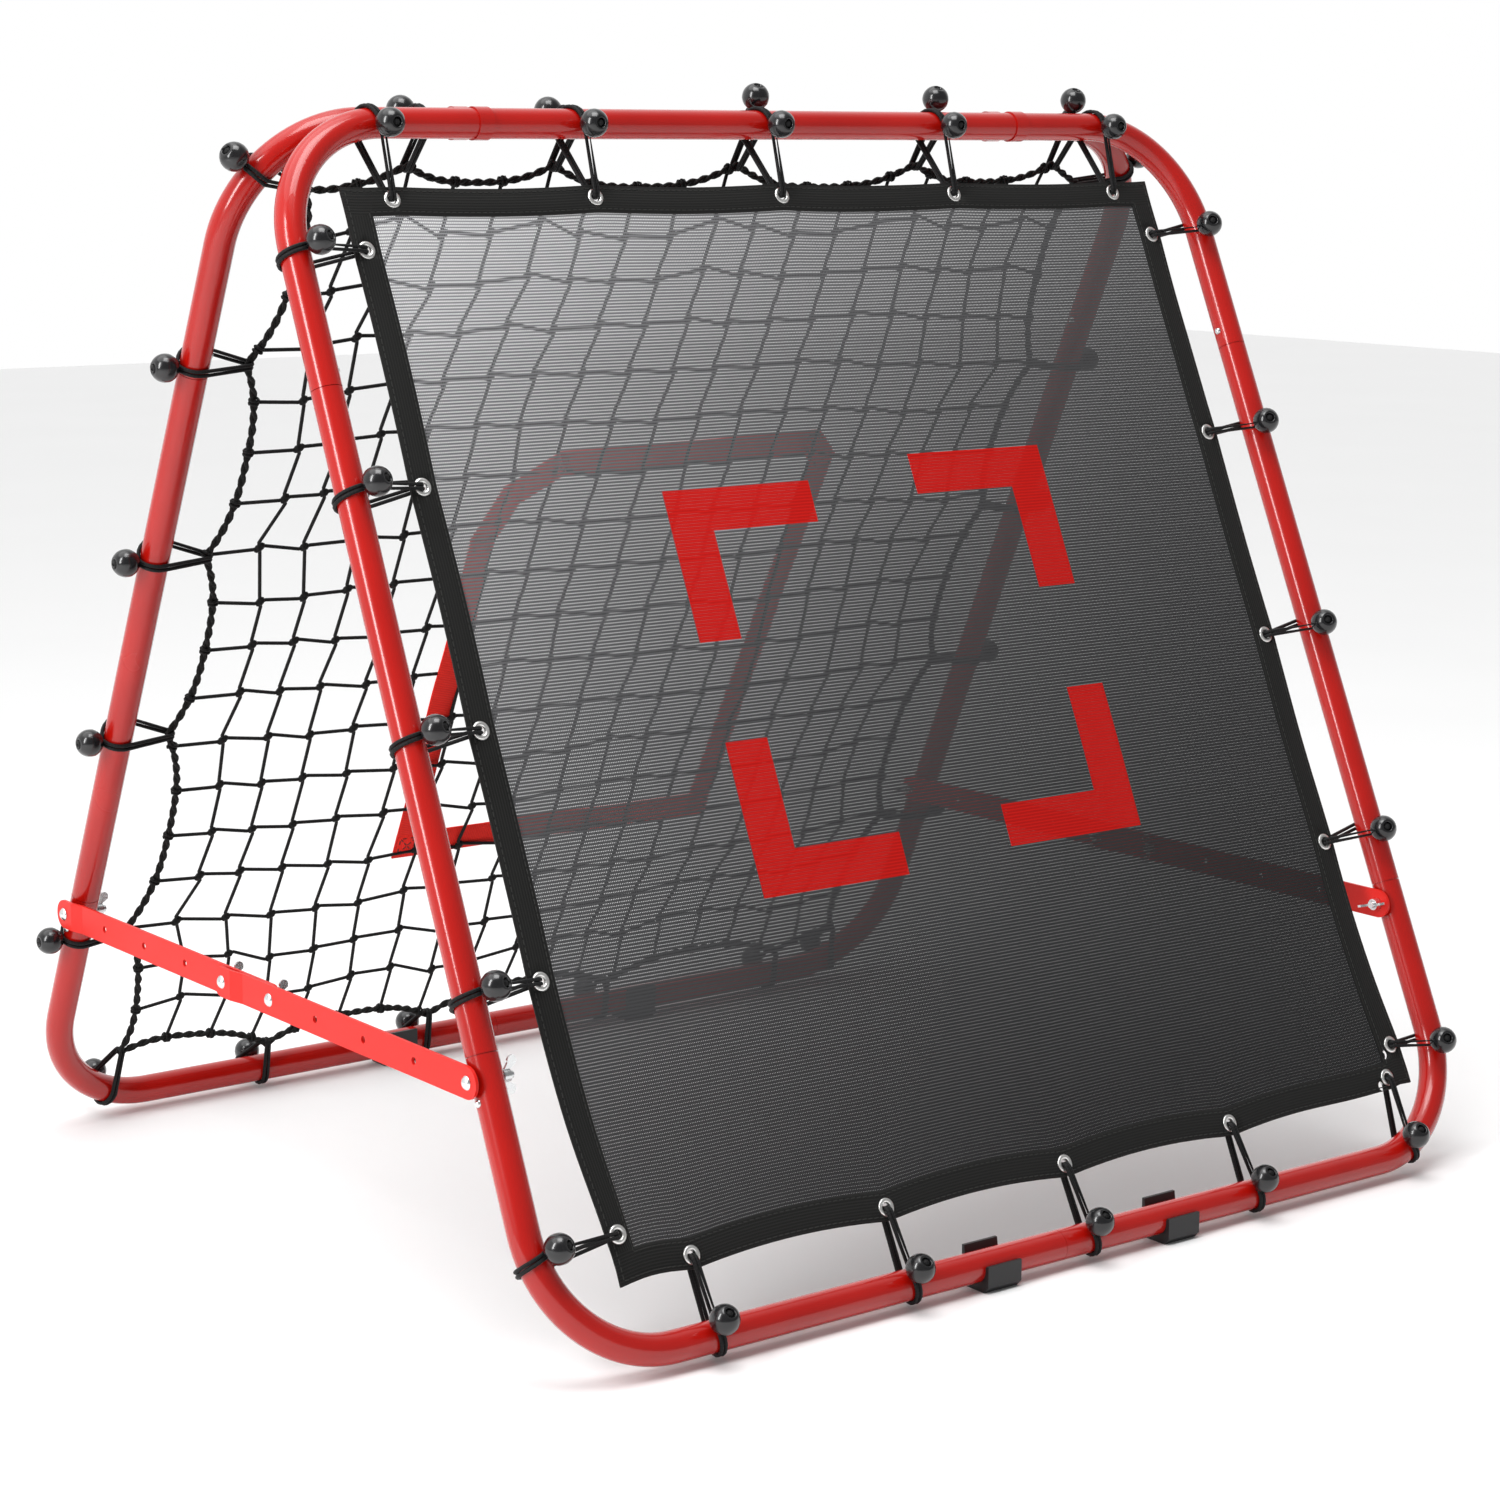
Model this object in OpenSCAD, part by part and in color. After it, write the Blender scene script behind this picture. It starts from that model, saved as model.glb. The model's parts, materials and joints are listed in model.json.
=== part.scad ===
// Two-sided rebounder: two square tube frames lean together as an A.
// The front frame carries a stretched mesh panel and the rear frame a knotted
// net. Origin: centre of the footprint, on the floor. +X right, +Y to the rear.

/* [Frames] */
// Outside width and height of each square frame
frame_size = 1000; // [900:10:1200]
// Outside diameter of the frame tube
tube_d = 25; // [24:0.5:27]
// Wall thickness of the frame tube
tube_wall = 1.2; // [1:0.1:1.5]
// Radius of the corner bends, on the tube's centreline
bend_r = 105; // [90:5:130]
// Distance between the two top tubes, centre to centre
top_gap = 31; // [30.5:0.5:34]
// Height of the upper tube joints above the bottom tube
upper_joint = 755; // [700:5:780]
// Height of the lower tube joints above the bottom tube
lower_joint = 237; // [234:1:245]
// Length of the reduced tube end inside each joint
plug_length = 45; // [40:1:50]

/* [Braces] */
// Height of the brace pivots up the side tubes
brace_height = 219.4; // [215:0.1:222]
// Distance between neighbouring brace holes
hole_pitch = 72; // [70:0.5:74]
// Number of holes in each brace strap
brace_holes = 6; // [6:1:6]
// Holes in which the two straps overlap and are bolted
overlap_holes = 2; // [2:1:2]
// Width of the brace strap
strap_width = 25; // [20:1:25]
// Thickness of the brace strap
strap_thick = 2.5; // [2:0.1:3]
// Diameter of the brace bolts
bolt_d = 6; // [5:0.5:6]

/* [Panel and net] */
// Outside width and height of the mesh panel with its hem
panel_size = 870; // [840:5:875]
// Width of the folded hem around the mesh
hem_width = 24; // [20:1:30]
// Distance between neighbouring grommets along the top and sides
grommet_pitch = 195; // [180:5:195]
// Distance between neighbouring grommets in the bottom row
bottom_pitch = 190; // [180:5:192]
// Sideways shift of the bottom row of grommets and bungees
bottom_shift = 30; // [0:5:30]
// Width of the net between its side ropes
net_width = 880; // [860:5:885]
// Height of the net between its top and bottom ropes
net_height = 910; // [880:1:915]
// Width of the strike zone webbing
webbing_width = 26; // [20:1:30]

/* [Bungees] */
// Diameter of the bungee balls
ball_d = 24; // [20:1:24]
// Diameter of the elastic cord
cord_d = 4.4; // [4:0.2:4.6]

/* [Feet] */
// Length of each foot along its tube
foot_length = 35; // [25:1:45]
// Height of the tube above the floor
foot_base = 6; // [5.5:0.5:10]

/* [Hidden] */
$fn = 48;
RED = [0.78, 0.09, 0.06];
BLACK = [0.06, 0.06, 0.07];
ZINC = [0.78, 0.79, 0.8];

gap = 0.3;                       // clearance between bodies that move apart
fit = 0.05;                      // radial clearance of a running fit
tube_r = tube_d / 2;
bore_r = tube_r - tube_wall;
plug_r = bore_r - fit;
plug_bore_r = plug_r - tube_wall;
seam = 0.6;                      // open groove at each tube joint
span = frame_size - tube_d;      // centreline width and height of a frame
half = span / 2;
bar_z = foot_base + tube_r;

// The straps set how far the frames spread, and so how far they lean.
brace_span = (2 * brace_holes - overlap_holes - 1) * hole_pitch;
lean = asin((brace_span - top_gap) / (2 * (span - brace_height)));
depth = 2 * span * sin(lean) + top_gap;
front_y = -depth / 2;
rear_y = depth / 2;
pivot_y = front_y + brace_height * sin(lean);
pivot_z = bar_z + brace_height * cos(lean);
top_z = bar_z + span * cos(lean);

// Layers of the braces, measured outward from the tube's side.
inner_layer = gap;
outer_layer = inner_layer + strap_thick + gap;
joggle = strap_thick + gap;
bolt_r = bolt_d / 2;
hole_r = bolt_r + 0.08;
head_r = 5.5;
head_h = 3.2;
nut_h = 6;
nut_r = 5;
wing_reach = 11;
stud_end = 3;                    // thread that shows past a wing nut
nut_turn = 75;                   // how the right wing nuts are left standing
LEFT_SIDE = -half - tube_r;
RIGHT_SIDE = half - tube_r;

button_r = 3.2;
button_rise = 2.5;
upper_button = upper_joint + 15;
lower_button = lower_joint - 34;

panel_mid = span / 2 - 2;        // the panel hangs a little low in its frame
panel_half = panel_size / 2;
hem_thick = 3.2;
mesh_thick = 0.8;
grommet_in = 11;                 // from the hem's edge to a grommet's centre
grommet_line = panel_half - grommet_in;
grommet_r = 7;
grommet_hole_r = 3.6;
corner_cut = 40;                 // the net's corners are pulled round

net_mid = span / 2 - 4.5;
net_thick = 2;
rope_r = 3;
net_half_w = net_width / 2;
net_half_h = net_height / 2;
zone_width = 380;
zone_height = 415;
zone_mid = 450;
zone_shift = 20;
webbing_thick = 2;

cord_r = cord_d / 2;
strand_r = cord_r - 0.3;
ring_r = tube_r + cord_r + 0.15;
ball_reach = tube_r + ball_d / 2 + 2;

// Hooks along each tube, from the middle of the tube or up from the bottom.
HOOKS = [-2, -1, 0, 1, 2];
REAR_TOP_BACK = [-330, -185];    // balls behind the tube
REAR_TOP_OUT = [8, 213, 382];    // balls above the tube
REAR_TOP = concat(REAR_TOP_BACK, REAR_TOP_OUT);
REAR_BOTTOM = [-262, -82, 131, 349];
REAR_LEFT = [192, 400, 578, 760];
REAR_RIGHT = [192, 385, 565, 725];
TOP_BEND = 35;                   // where a bend's bungee sits, up from the side
LOW_BEND = 66;
ball_turn = 22;                  // front balls hang a little inward of square
side_drop = 8;                   // the side rows sit below the panel's middle

FRONT_FEET = [-70, 128];
REAR_FEET = [-113, 175];
CLIPS = [-290, 290];

// ---- Placing -------------------------------------------------------------
// Each frame is drawn upright in the XZ plane and then leaned.
module front_frame() translate([0, front_y, bar_z]) rotate([-lean, 0, 0]) children();
module rear_frame() translate([0, rear_y, bar_z]) rotate([lean, 0, 0]) children();

module along_x(h, r) rotate([0, 90, 0]) cylinder(h = h, r = r);

// ---- Tubes ---------------------------------------------------------------
// The run of a corner tube: half a bar, a bend and a length of side tube.
module corner_run(r, bar_from, post_to) {
    translate([bar_from, 0, 0]) along_x(half - bend_r - bar_from, r);
    translate([half - bend_r, 0, bend_r]) rotate([90, 0, 0])
        rotate_extrude(angle = 90, start = 270) translate([bend_r, 0]) circle(r);
    translate([half, 0, bend_r]) cylinder(h = post_to - bend_r, r = r);
}

// Holes through a side tube for the brace bolt and the snap button.
module post_holes(heights, r, reach_from) {
    for (z = heights) translate([reach_from, 0, z]) along_x(2 * tube_r, r);
}

// A bottom corner tube, drawn on the right. A socket half takes the other's plug.
module bottom_corner(socket) {
    color(RED) difference() {
        union() {
            corner_run(tube_r, socket ? seam / 2 : 0, lower_joint);
            if (!socket) translate([-plug_length, 0, 0]) along_x(plug_length + 1, plug_r);
        }
        corner_run(bore_r, 1, lower_joint + 1);
        if (socket) translate([-1, 0, 0]) along_x(3, bore_r);
        if (!socket) translate([-plug_length - 1, 0, 0]) along_x(plug_length + 3, plug_bore_r);
        post_holes([brace_height], hole_r, half - tube_r);
        post_holes([lower_button], button_r + fit + 0.02, half);
    }
}

// A top corner tube: the same run upside down, with the button hole inside.
module top_corner(socket) {
    post = span - upper_joint;
    color(RED) translate([0, 0, span]) mirror([0, 0, 1]) difference() {
        union() {
            corner_run(tube_r, socket ? seam / 2 : 0, post);
            if (!socket) translate([-plug_length, 0, 0]) along_x(plug_length + 1, plug_r);
        }
        corner_run(bore_r, 1, post + 1);
        if (socket) translate([-1, 0, 0]) along_x(3, bore_r);
        if (!socket) translate([-plug_length - 1, 0, 0]) along_x(plug_length + 3, plug_bore_r);
        post_holes([span - upper_button], button_r + fit + 0.02, half - 2 * tube_r);
    }
}

// A side tube: full size between the joints and reduced where it plugs in.
module side_tube() {
    low = lower_joint + seam;
    high = upper_joint - seam;
    color(RED) translate([half, 0, 0]) difference() {
        union() {
            translate([0, 0, low]) cylinder(h = high - low, r = tube_r);
            translate([0, 0, low - plug_length])
                cylinder(h = high - low + 2 * plug_length, r = plug_r);
        }
        translate([0, 0, low - plug_length - 1])
            cylinder(h = high - low + 2 * plug_length + 2, r = plug_bore_r);
        translate([-tube_r, 0, brace_height]) along_x(tube_d, hole_r);
        translate([0, 0, lower_button]) along_x(tube_d, button_r + fit);
        translate([-tube_d, 0, upper_button]) along_x(tube_d, button_r + fit);
    }
}

module on_left() mirror([1, 0, 0]) children();

module front_top_left_tube() front_frame() on_left() top_corner(false);
module front_top_right_tube() front_frame() top_corner(true);
module front_left_tube() front_frame() on_left() side_tube();
module front_right_tube() front_frame() side_tube();
module front_bottom_left_tube() front_frame() on_left() bottom_corner(false);
module front_bottom_right_tube() front_frame() bottom_corner(true);
module rear_top_left_tube() rear_frame() on_left() top_corner(false);
module rear_top_right_tube() rear_frame() top_corner(true);
module rear_left_tube() rear_frame() on_left() side_tube();
module rear_right_tube() rear_frame() side_tube();
module rear_bottom_left_tube() rear_frame() on_left() bottom_corner(false);
module rear_bottom_right_tube() rear_frame() bottom_corner(true);

// ---- Feet and hinge clips ------------------------------------------------
// A saddle under the bottom tube: a low leg outside and a tall leg inside.
module foot() {
    leg = 3.5;
    chamfer = 5;
    out = tube_r + leg;
    low_leg = bar_z + 4;
    tall_leg = bar_z + tube_r + 2;
    translate([-foot_length / 2, 0, 0]) rotate([90, 0, 90]) linear_extrude(foot_length)
        difference() {
            polygon([[-out + chamfer, 0], [out - chamfer, 0], [out, chamfer],
                [out, tall_leg], [out - leg + 1, tall_leg], [tube_r * 0.9, bar_z],
                [-tube_r * 0.9, bar_z], [-out + leg - 1, low_leg], [-out, low_leg],
                [-out, chamfer]]);
            translate([0, bar_z]) circle(tube_r + 0.04);
        }
}

module front_feet() color(BLACK) for (x = FRONT_FEET) translate([x, front_y, 0]) foot();
module rear_feet() color(BLACK) for (x = REAR_FEET) translate([x, rear_y, 0]) mirror([0, 1, 0]) foot();

// Two thin steel clips hold the top tubes side by side. The rear tube turns.
module hinge_clips() {
    clip_wall = 1.2;
    clip_length = 14;
    color(RED) for (x = CLIPS) translate([x - clip_length / 2, 0, top_z]) difference() {
        union() {
            translate([0, -top_gap / 2, 0]) along_x(clip_length, tube_r + clip_wall);
            translate([0, top_gap / 2, 0]) along_x(clip_length, tube_r + clip_wall);
            translate([0, -top_gap / 2, -tube_r / 2]) cube([clip_length, top_gap, tube_r]);
        }
        translate([-1, -top_gap / 2, 0]) along_x(clip_length + 2, tube_r + fit);
        translate([-1, top_gap / 2, 0]) along_x(clip_length + 2, tube_r + fit);
    }
}

// ---- Braces and their bolts ----------------------------------------------
// In these modules x = 0 is the tube's side and -x points outward.
module brace_side(side) translate([side, 0, pivot_z]) children();
module at_front_pivot() translate([0, pivot_y, 0]) children();
module at_rear_pivot() translate([0, -pivot_y, 0]) children();

// A strap from its first hole at the origin towards -y, in a layer of its own.
module strap(layer) {
    run = (brace_holes - 1) * hole_pitch;
    end_r = strap_width / 2;
    bend_from = 14;
    bend_to = 30;
    x0 = -layer;
    x1 = -layer - strap_thick;
    color(RED) difference() {
        intersection() {
            translate([0, 0, -end_r]) linear_extrude(strap_width)
                polygon([[x0 - joggle, end_r], [x0 - joggle, -bend_from],
                    [x0, -bend_to], [x0, -run - end_r], [x1, -run - end_r],
                    [x1, -bend_to], [x1 - joggle, -bend_from], [x1 - joggle, end_r]]);
            translate([x1 - joggle - 1, 0, 0]) rotate([90, 0, 90])
                linear_extrude(joggle + strap_thick + 2) union() {
                    circle(end_r);
                    translate([-run, 0]) circle(end_r);
                    translate([-run, -end_r]) square([run, strap_width]);
                }
        }
        for (i = [0:brace_holes - 1]) translate([x1 - joggle - 1, -i * hole_pitch, 0])
            along_x(joggle + strap_thick + 2, hole_r);
    }
}

module front_strap() at_front_pivot() translate([0, (brace_holes - 1) * hole_pitch, 0]) strap(outer_layer);
module rear_strap() at_rear_pivot() strap(inner_layer);
module left_front_brace() brace_side(LEFT_SIDE) front_strap();
module left_rear_brace() brace_side(LEFT_SIDE) rear_strap();
module right_front_brace() brace_side(RIGHT_SIDE) front_strap();
module right_rear_brace() brace_side(RIGHT_SIDE) rear_strap();

// A low domed head on the -x side of x = 0.
module bolt_head() intersection() {
    dome_r = (head_r * head_r + head_h * head_h) / (2 * head_h);
    translate([-head_h + dome_r, 0, 0]) sphere(dome_r);
    translate([-head_h, 0, 0]) along_x(head_h, head_r);
}

// A bolt whose head seats at x = seat and whose shank runs to x = tip.
module bolt(seat, tip) {
    turn = tip > seat ? 0 : 180;
    color(ZINC) translate([seat, 0, 0]) rotate([0, 0, turn]) {
        bolt_head();
        translate([-1, 0, 0]) along_x(abs(tip - seat) + 1, bolt_r);
    }
}

// A wing nut whose base is at x = 0 and whose wings rise towards +x.
module wing_nut() {
    wing_thick = 2;
    color(ZINC) difference() {
        union() {
            along_x(nut_h, nut_r);
            for (side = [0, 180]) rotate([side, 0, 0])
                translate([0, wing_thick / 2, 0]) rotate([90, 0, 0]) linear_extrude(wing_thick) union() {
                    polygon([[1, nut_r - 1], [nut_h - 1, nut_r - 1],
                        [nut_h + 6, wing_reach - 2], [nut_h + 1, wing_reach + 3]]);
                    translate([nut_h + 2, wing_reach]) circle(3.8);
                }
        }
        translate([-1, 0, 0]) along_x(nut_h * 3, hole_r);
    }
}

outer_face = -outer_layer - strap_thick;         // outside of the strap at a pivot
tube_far = tube_d;                               // far side of the side tube
shank_out = nut_h + stud_end + gap;

// On the left the heads are outside and the wing nuts inside the frame. On
// the right the straps lie inside, so the bolts are the other way about.
module post_bolts() {
    brace_side(LEFT_SIDE) bolt(outer_face - gap, tube_far + shank_out);
    brace_side(RIGHT_SIDE) bolt(tube_far, outer_face - shank_out);
}
module front_post_bolts() at_front_pivot() post_bolts();
module rear_post_bolts() at_rear_pivot() post_bolts();

module left_post_nut() brace_side(LEFT_SIDE) translate([tube_far + gap, 0, 0]) wing_nut();
module right_post_nut() brace_side(RIGHT_SIDE) translate([outer_face - gap, 0, 0])
    rotate([nut_turn, 0, 0]) mirror([1, 0, 0]) wing_nut();
module left_front_wing_nut() at_front_pivot() left_post_nut();
module left_rear_wing_nut() at_rear_pivot() left_post_nut();
module right_front_wing_nut() at_front_pivot() right_post_nut();
module right_rear_wing_nut() at_rear_pivot() right_post_nut();

module spacer() translate([-outer_layer + gap, 0, 0]) difference() {
    along_x(outer_layer - gap - 0.05, 8);
    translate([-1, 0, 0]) along_x(outer_layer + 2, hole_r);
}
module brace_spacers() color(BLACK) for (side = [LEFT_SIDE, RIGHT_SIDE]) brace_side(side) spacer();
module front_brace_spacers() at_front_pivot() brace_spacers();
module rear_brace_spacers() at_rear_pivot() brace_spacers();

// The two bolts through the overlap. Each shank is parted where the straps
// meet, so that one strap carries the head and the other the threaded end.
overlap_inner = -outer_layer;                    // inside of the front strap
overlap_outer = -inner_layer - strap_thick;      // outside of the rear strap
module at_overlap(i) at_front_pivot() translate([0, (brace_holes - 2 + i) * hole_pitch, 0]) children();
function strap_face(i) = outer_face - i * joggle;

module left_brace_bolt_heads() brace_side(LEFT_SIDE)
    for (i = [0, 1]) at_overlap(i) bolt(strap_face(i), overlap_inner);
module left_brace_bolt_ends() brace_side(LEFT_SIDE) color(ZINC)
    for (i = [0, 1]) at_overlap(i) translate([overlap_outer, 0, 0])
        along_x(strap_thick + shank_out, bolt_r);
module right_brace_bolt_heads() brace_side(RIGHT_SIDE)
    for (i = [0, 1]) at_overlap(i) bolt(-inner_layer, overlap_outer);
module right_brace_bolt_ends() brace_side(RIGHT_SIDE) color(ZINC)
    for (i = [0, 1]) at_overlap(i) translate([strap_face(i) - shank_out, 0, 0])
        along_x(overlap_inner - strap_face(i) + shank_out, bolt_r);

module left_brace_nut(i) brace_side(LEFT_SIDE) at_overlap(i) wing_nut();
module right_brace_nut(i) brace_side(RIGHT_SIDE) at_overlap(i)
    translate([strap_face(i) - gap, 0, 0]) mirror([1, 0, 0]) wing_nut();
module left_brace_wing_nut_1() left_brace_nut(0);
module left_brace_wing_nut_2() left_brace_nut(1);
module right_brace_wing_nut_1() right_brace_nut(0);
module right_brace_wing_nut_2() right_brace_nut(1);

// ---- Snap buttons --------------------------------------------------------
// A V spring with a domed button, drawn with the button towards +x.
module snap_button() {
    leaf_w = 5;
    leaf_len = 24;
    leaf = 1;
    front_leaf = plug_bore_r - 3;
    back_leaf = -3.5;
    rim = tube_r + button_rise - button_r;
    color(ZINC) {
        translate([front_leaf - 0.5, 0, 0]) along_x(rim - front_leaf + 0.5, button_r);
        intersection() {
            translate([rim, 0, 0]) sphere(button_r);
            translate([rim - 1, 0, 0]) along_x(button_r + 2, button_r);
        }
        translate([front_leaf - leaf, -leaf_w / 2, -leaf_len]) cube([leaf, leaf_w, leaf_len + button_r]);
        translate([back_leaf, -leaf_w / 2, -leaf_len]) cube([leaf, leaf_w, leaf_len + button_r]);
        translate([back_leaf, -leaf_w / 2, -leaf_len]) cube([front_leaf - back_leaf, leaf_w, leaf]);
    }
}
module outside_button(z) translate([half, 0, z]) snap_button();
module inside_button(z) translate([half, 0, z]) mirror([1, 0, 0]) mirror([0, 0, 1]) snap_button();

module front_left_upper_button() front_frame() on_left() inside_button(upper_button);
module front_right_upper_button() front_frame() inside_button(upper_button);
module front_left_lower_button() front_frame() on_left() outside_button(lower_button);
module front_right_lower_button() front_frame() outside_button(lower_button);
module rear_left_upper_button() rear_frame() on_left() inside_button(upper_button);
module rear_right_upper_button() rear_frame() inside_button(upper_button);
module rear_left_lower_button() rear_frame() on_left() outside_button(lower_button);
module rear_right_lower_button() rear_frame() outside_button(lower_button);

// ---- Mesh panel ----------------------------------------------------------
// Across position of a grommet in the top row (side 1) or bottom row (side -1).
function row_x(i, side) = side > 0 ? i * grommet_pitch : i * bottom_pitch + bottom_shift;

mesh_size = panel_size - 2 * hem_width;
module rebound_panel() color([0.12, 0.12, 0.13]) front_frame()
    translate([0, 0, panel_mid]) cube([mesh_size, mesh_thick, mesh_size], center = true);

// Four folded strips around the mesh, butted at the corners.
module grommet_hole() rotate([90, 0, 0]) cylinder(h = 2 * hem_thick, r = grommet_hole_r + 1, center = true);
module panel_hem() color(BLACK) front_frame() translate([0, 0, panel_mid]) {
    mid = panel_half - hem_width / 2;
    for (side = [-1, 1]) {
        difference() {
            translate([0, 0, side * mid]) cube([panel_size, hem_thick, hem_width], center = true);
            for (i = HOOKS) translate([row_x(i, side), 0, side * grommet_line]) grommet_hole();
        }
        difference() {
            translate([side * mid, 0, 0]) cube([hem_width, hem_thick, mesh_size], center = true);
            for (i = HOOKS) translate([side * grommet_line, 0, i * grommet_pitch - side_drop]) grommet_hole();
        }
    }
}

// A rolled metal ring through the hem, on the axis through the hem.
module grommet() rotate([90, 0, 0]) difference() {
    union() {
        cylinder(h = hem_thick + 0.2, r = grommet_hole_r + 1 - fit, center = true);
        for (face = [-1, 1]) translate([0, 0, face * (hem_thick / 2 + 0.5)])
            cylinder(h = 0.8, r = grommet_r, center = true);
    }
    cylinder(h = 3 * hem_thick, r = grommet_hole_r, center = true);
}
module panel_grommets() color(ZINC) front_frame() translate([0, 0, panel_mid])
    for (i = HOOKS, side = [-1, 1]) {
        translate([row_x(i, side), 0, side * grommet_line]) grommet();
        translate([side * grommet_line, 0, i * grommet_pitch - side_drop]) grommet();
    }

// ---- Net -----------------------------------------------------------------
module net_outline(inset) {
    w = net_half_w - inset;
    h = net_half_h - inset;
    c = corner_cut;
    polygon([[-w + c, -h], [w - c, -h], [w, -h + c], [w, h - c],
        [w - c, h], [-w + c, h], [-w, h - c], [-w, -h + c]]);
}
module rebound_net() color(BLACK) rear_frame() translate([0, net_thick / 2, net_mid])
    rotate([90, 0, 0]) linear_extrude(net_thick) net_outline(rope_r + 0.1);

// Border rope in eight straight lengths, each a little short of its corners.
module net_border() color(BLACK) rear_frame() translate([0, 0, net_mid]) {
    end = rope_r + 0.5;
    slant = corner_cut * sqrt(2) - 2 * end;
    for (side = [-1, 1]) {
        translate([-net_half_w + corner_cut + end, 0, side * net_half_h])
            along_x(net_width - 2 * corner_cut - 2 * end, rope_r);
        translate([side * net_half_w, 0, -net_half_h + corner_cut + end])
            cylinder(h = net_height - 2 * corner_cut - 2 * end, r = rope_r);
        for (up = [-1, 1])
            translate([side * (net_half_w - corner_cut / 2), 0, up * (net_half_h - corner_cut / 2)])
                rotate([0, side * up * -45, 0]) cylinder(h = slant, r = rope_r, center = true);
    }
}

// A rectangle of flat webbing on the outside of the net.
module strike_zone_webbing() color([0.8, 0.1, 0.08]) rear_frame()
    translate([zone_shift, net_thick / 2 + gap, zone_mid]) rotate([-90, 0, 0]) linear_extrude(webbing_thick)
        difference() {
            square([zone_width, zone_height], center = true);
            square([zone_width - 2 * webbing_width, zone_height - 2 * webbing_width], center = true);
        }

// ---- Bungees -------------------------------------------------------------
// Past the straight part of a tube, a hook sits lower and turns with the bend.
function past(t) = max(0, abs(t) - half + bend_r);
function drop(t) = bend_r - sqrt(bend_r * bend_r - past(t) * past(t));

// A hook point on a tube: local -z points inward. Its ring turns by $tilt.
module hook(point, turn, t) {
    $drop = drop(t);
    $tilt = sign(t) * asin(past(t) / bend_r);
    translate(point) rotate([0, turn, 0]) translate([0, 0, -$drop]) children();
}
module at_hooks(top, bottom, left, right) {
    for (x = top) hook([x, 0, span], 0, x) children();
    for (x = bottom) hook([x, 0, 0], 180, -x) children();
    for (z = left) hook([-half, 0, z], -90, z - half) children();
    for (z = right) hook([half, 0, z], 90, half - z) children();
}
// A place on each corner bend. up is 1 at the top and 0 at the bottom.
module at_bends(up) for (side = [-1, 1]) {
    $tilt = 0;
    turn = up ? TOP_BEND : LOW_BEND;
    rise = bend_r - bend_r * sin(turn);
    translate([side * (half - bend_r + bend_r * cos(turn)), 0, up ? span - rise : rise])
        rotate([0, side * (up ? 90 - turn : 90 + turn), 0]) children();
}

module cord_ring() rotate([0, 90 + $tilt, 0]) rotate_extrude() translate([ring_r, 0])
    circle(cord_r, $fn = 24);
module rod(from, to) {
    run = to - from;
    translate(from) rotate([0, atan2(norm([run[0], run[1]]), run[2]), atan2(run[1], run[0])])
        cylinder(h = norm(run), r = strand_r, $fn = 24);
}

// A strand behind the hem, with a pin forward through its grommet.
module grommet_strand(reach) {
    lie = hem_thick / 2 + cord_r + 1.2;
    out = sqrt(ring_r * ring_r - lie * lie);
    end = [0, lie, $drop - reach];
    rod([-out * sin($tilt), lie, -out * cos($tilt)], end);
    rod(end, [0, -4, end[2]]);
    translate(end) sphere(cord_r, $fn = 24);
}
// A strand from the ring to the middle of the net's border rope.
module net_strand(reach) translate([0, 0, -reach])
    cylinder(h = reach - tube_r - cord_r / 2, r = cord_r, $fn = 24);

front_x = [for (i = HOOKS) row_x(i, 1)];
front_x_low = [for (i = HOOKS) row_x(i, -1)];
front_z = [for (x = front_x) x + panel_mid - side_drop];
reach_side = half - grommet_line;
reach_top = span - panel_mid - grommet_line;
reach_low = panel_mid - grommet_line;
reach_net_side = half - net_half_w;
reach_net_top = span - net_mid - net_half_h;
reach_net_low = net_mid - net_half_h;
// From a place on a bend, straight towards the bend's centre, to the net's cut corner.
function reach_net_corner(turn, reach_end) = (bend_r * (cos(turn) + sin(turn)) - 2 * bend_r
    + corner_cut + reach_net_side + reach_end) / (cos(turn) + sin(turn));

module front_bungee_cords() color(BLACK) front_frame() {
    at_hooks(front_x, front_x_low, front_z, front_z) cord_ring();
    at_hooks(front_x, [], [], []) grommet_strand(reach_top);
    at_hooks([], front_x_low, [], []) grommet_strand(reach_low);
    at_hooks([], [], front_z, front_z) grommet_strand(reach_side);
}
module front_bungee_balls() color(BLACK) front_frame()
    at_hooks(front_x, front_x_low, front_z, front_z)
        translate([0, -ball_reach * cos(ball_turn), -ball_reach * sin(ball_turn)]) sphere(ball_d / 2);

module rear_bungee_cords() color(BLACK) rear_frame() {
    at_hooks(REAR_TOP, REAR_BOTTOM, REAR_LEFT, REAR_RIGHT) cord_ring();
    at_hooks(REAR_TOP, [], [], []) net_strand(reach_net_top);
    at_hooks([], REAR_BOTTOM, [], []) net_strand(reach_net_low);
    at_hooks([], [], REAR_LEFT, REAR_RIGHT) net_strand(reach_net_side);
    for (up = [0, 1]) at_bends(up) {
        cord_ring();
        net_strand(up ? reach_net_corner(TOP_BEND, reach_net_top)
            : reach_net_corner(LOW_BEND, reach_net_low));
    }
}
module rear_bungee_balls() color(BLACK) rear_frame() {
    at_hooks(REAR_TOP_OUT, [], REAR_LEFT, REAR_RIGHT) translate([0, 0, ball_reach]) sphere(ball_d / 2);
    at_bends(1) translate([0, 0, ball_reach]) sphere(ball_d / 2);
    at_hooks(REAR_TOP_BACK, REAR_BOTTOM, [], []) translate([0, ball_reach, 0]) sphere(ball_d / 2);
    at_bends(0) translate([0, ball_reach, 0]) sphere(ball_d / 2);
}

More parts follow.
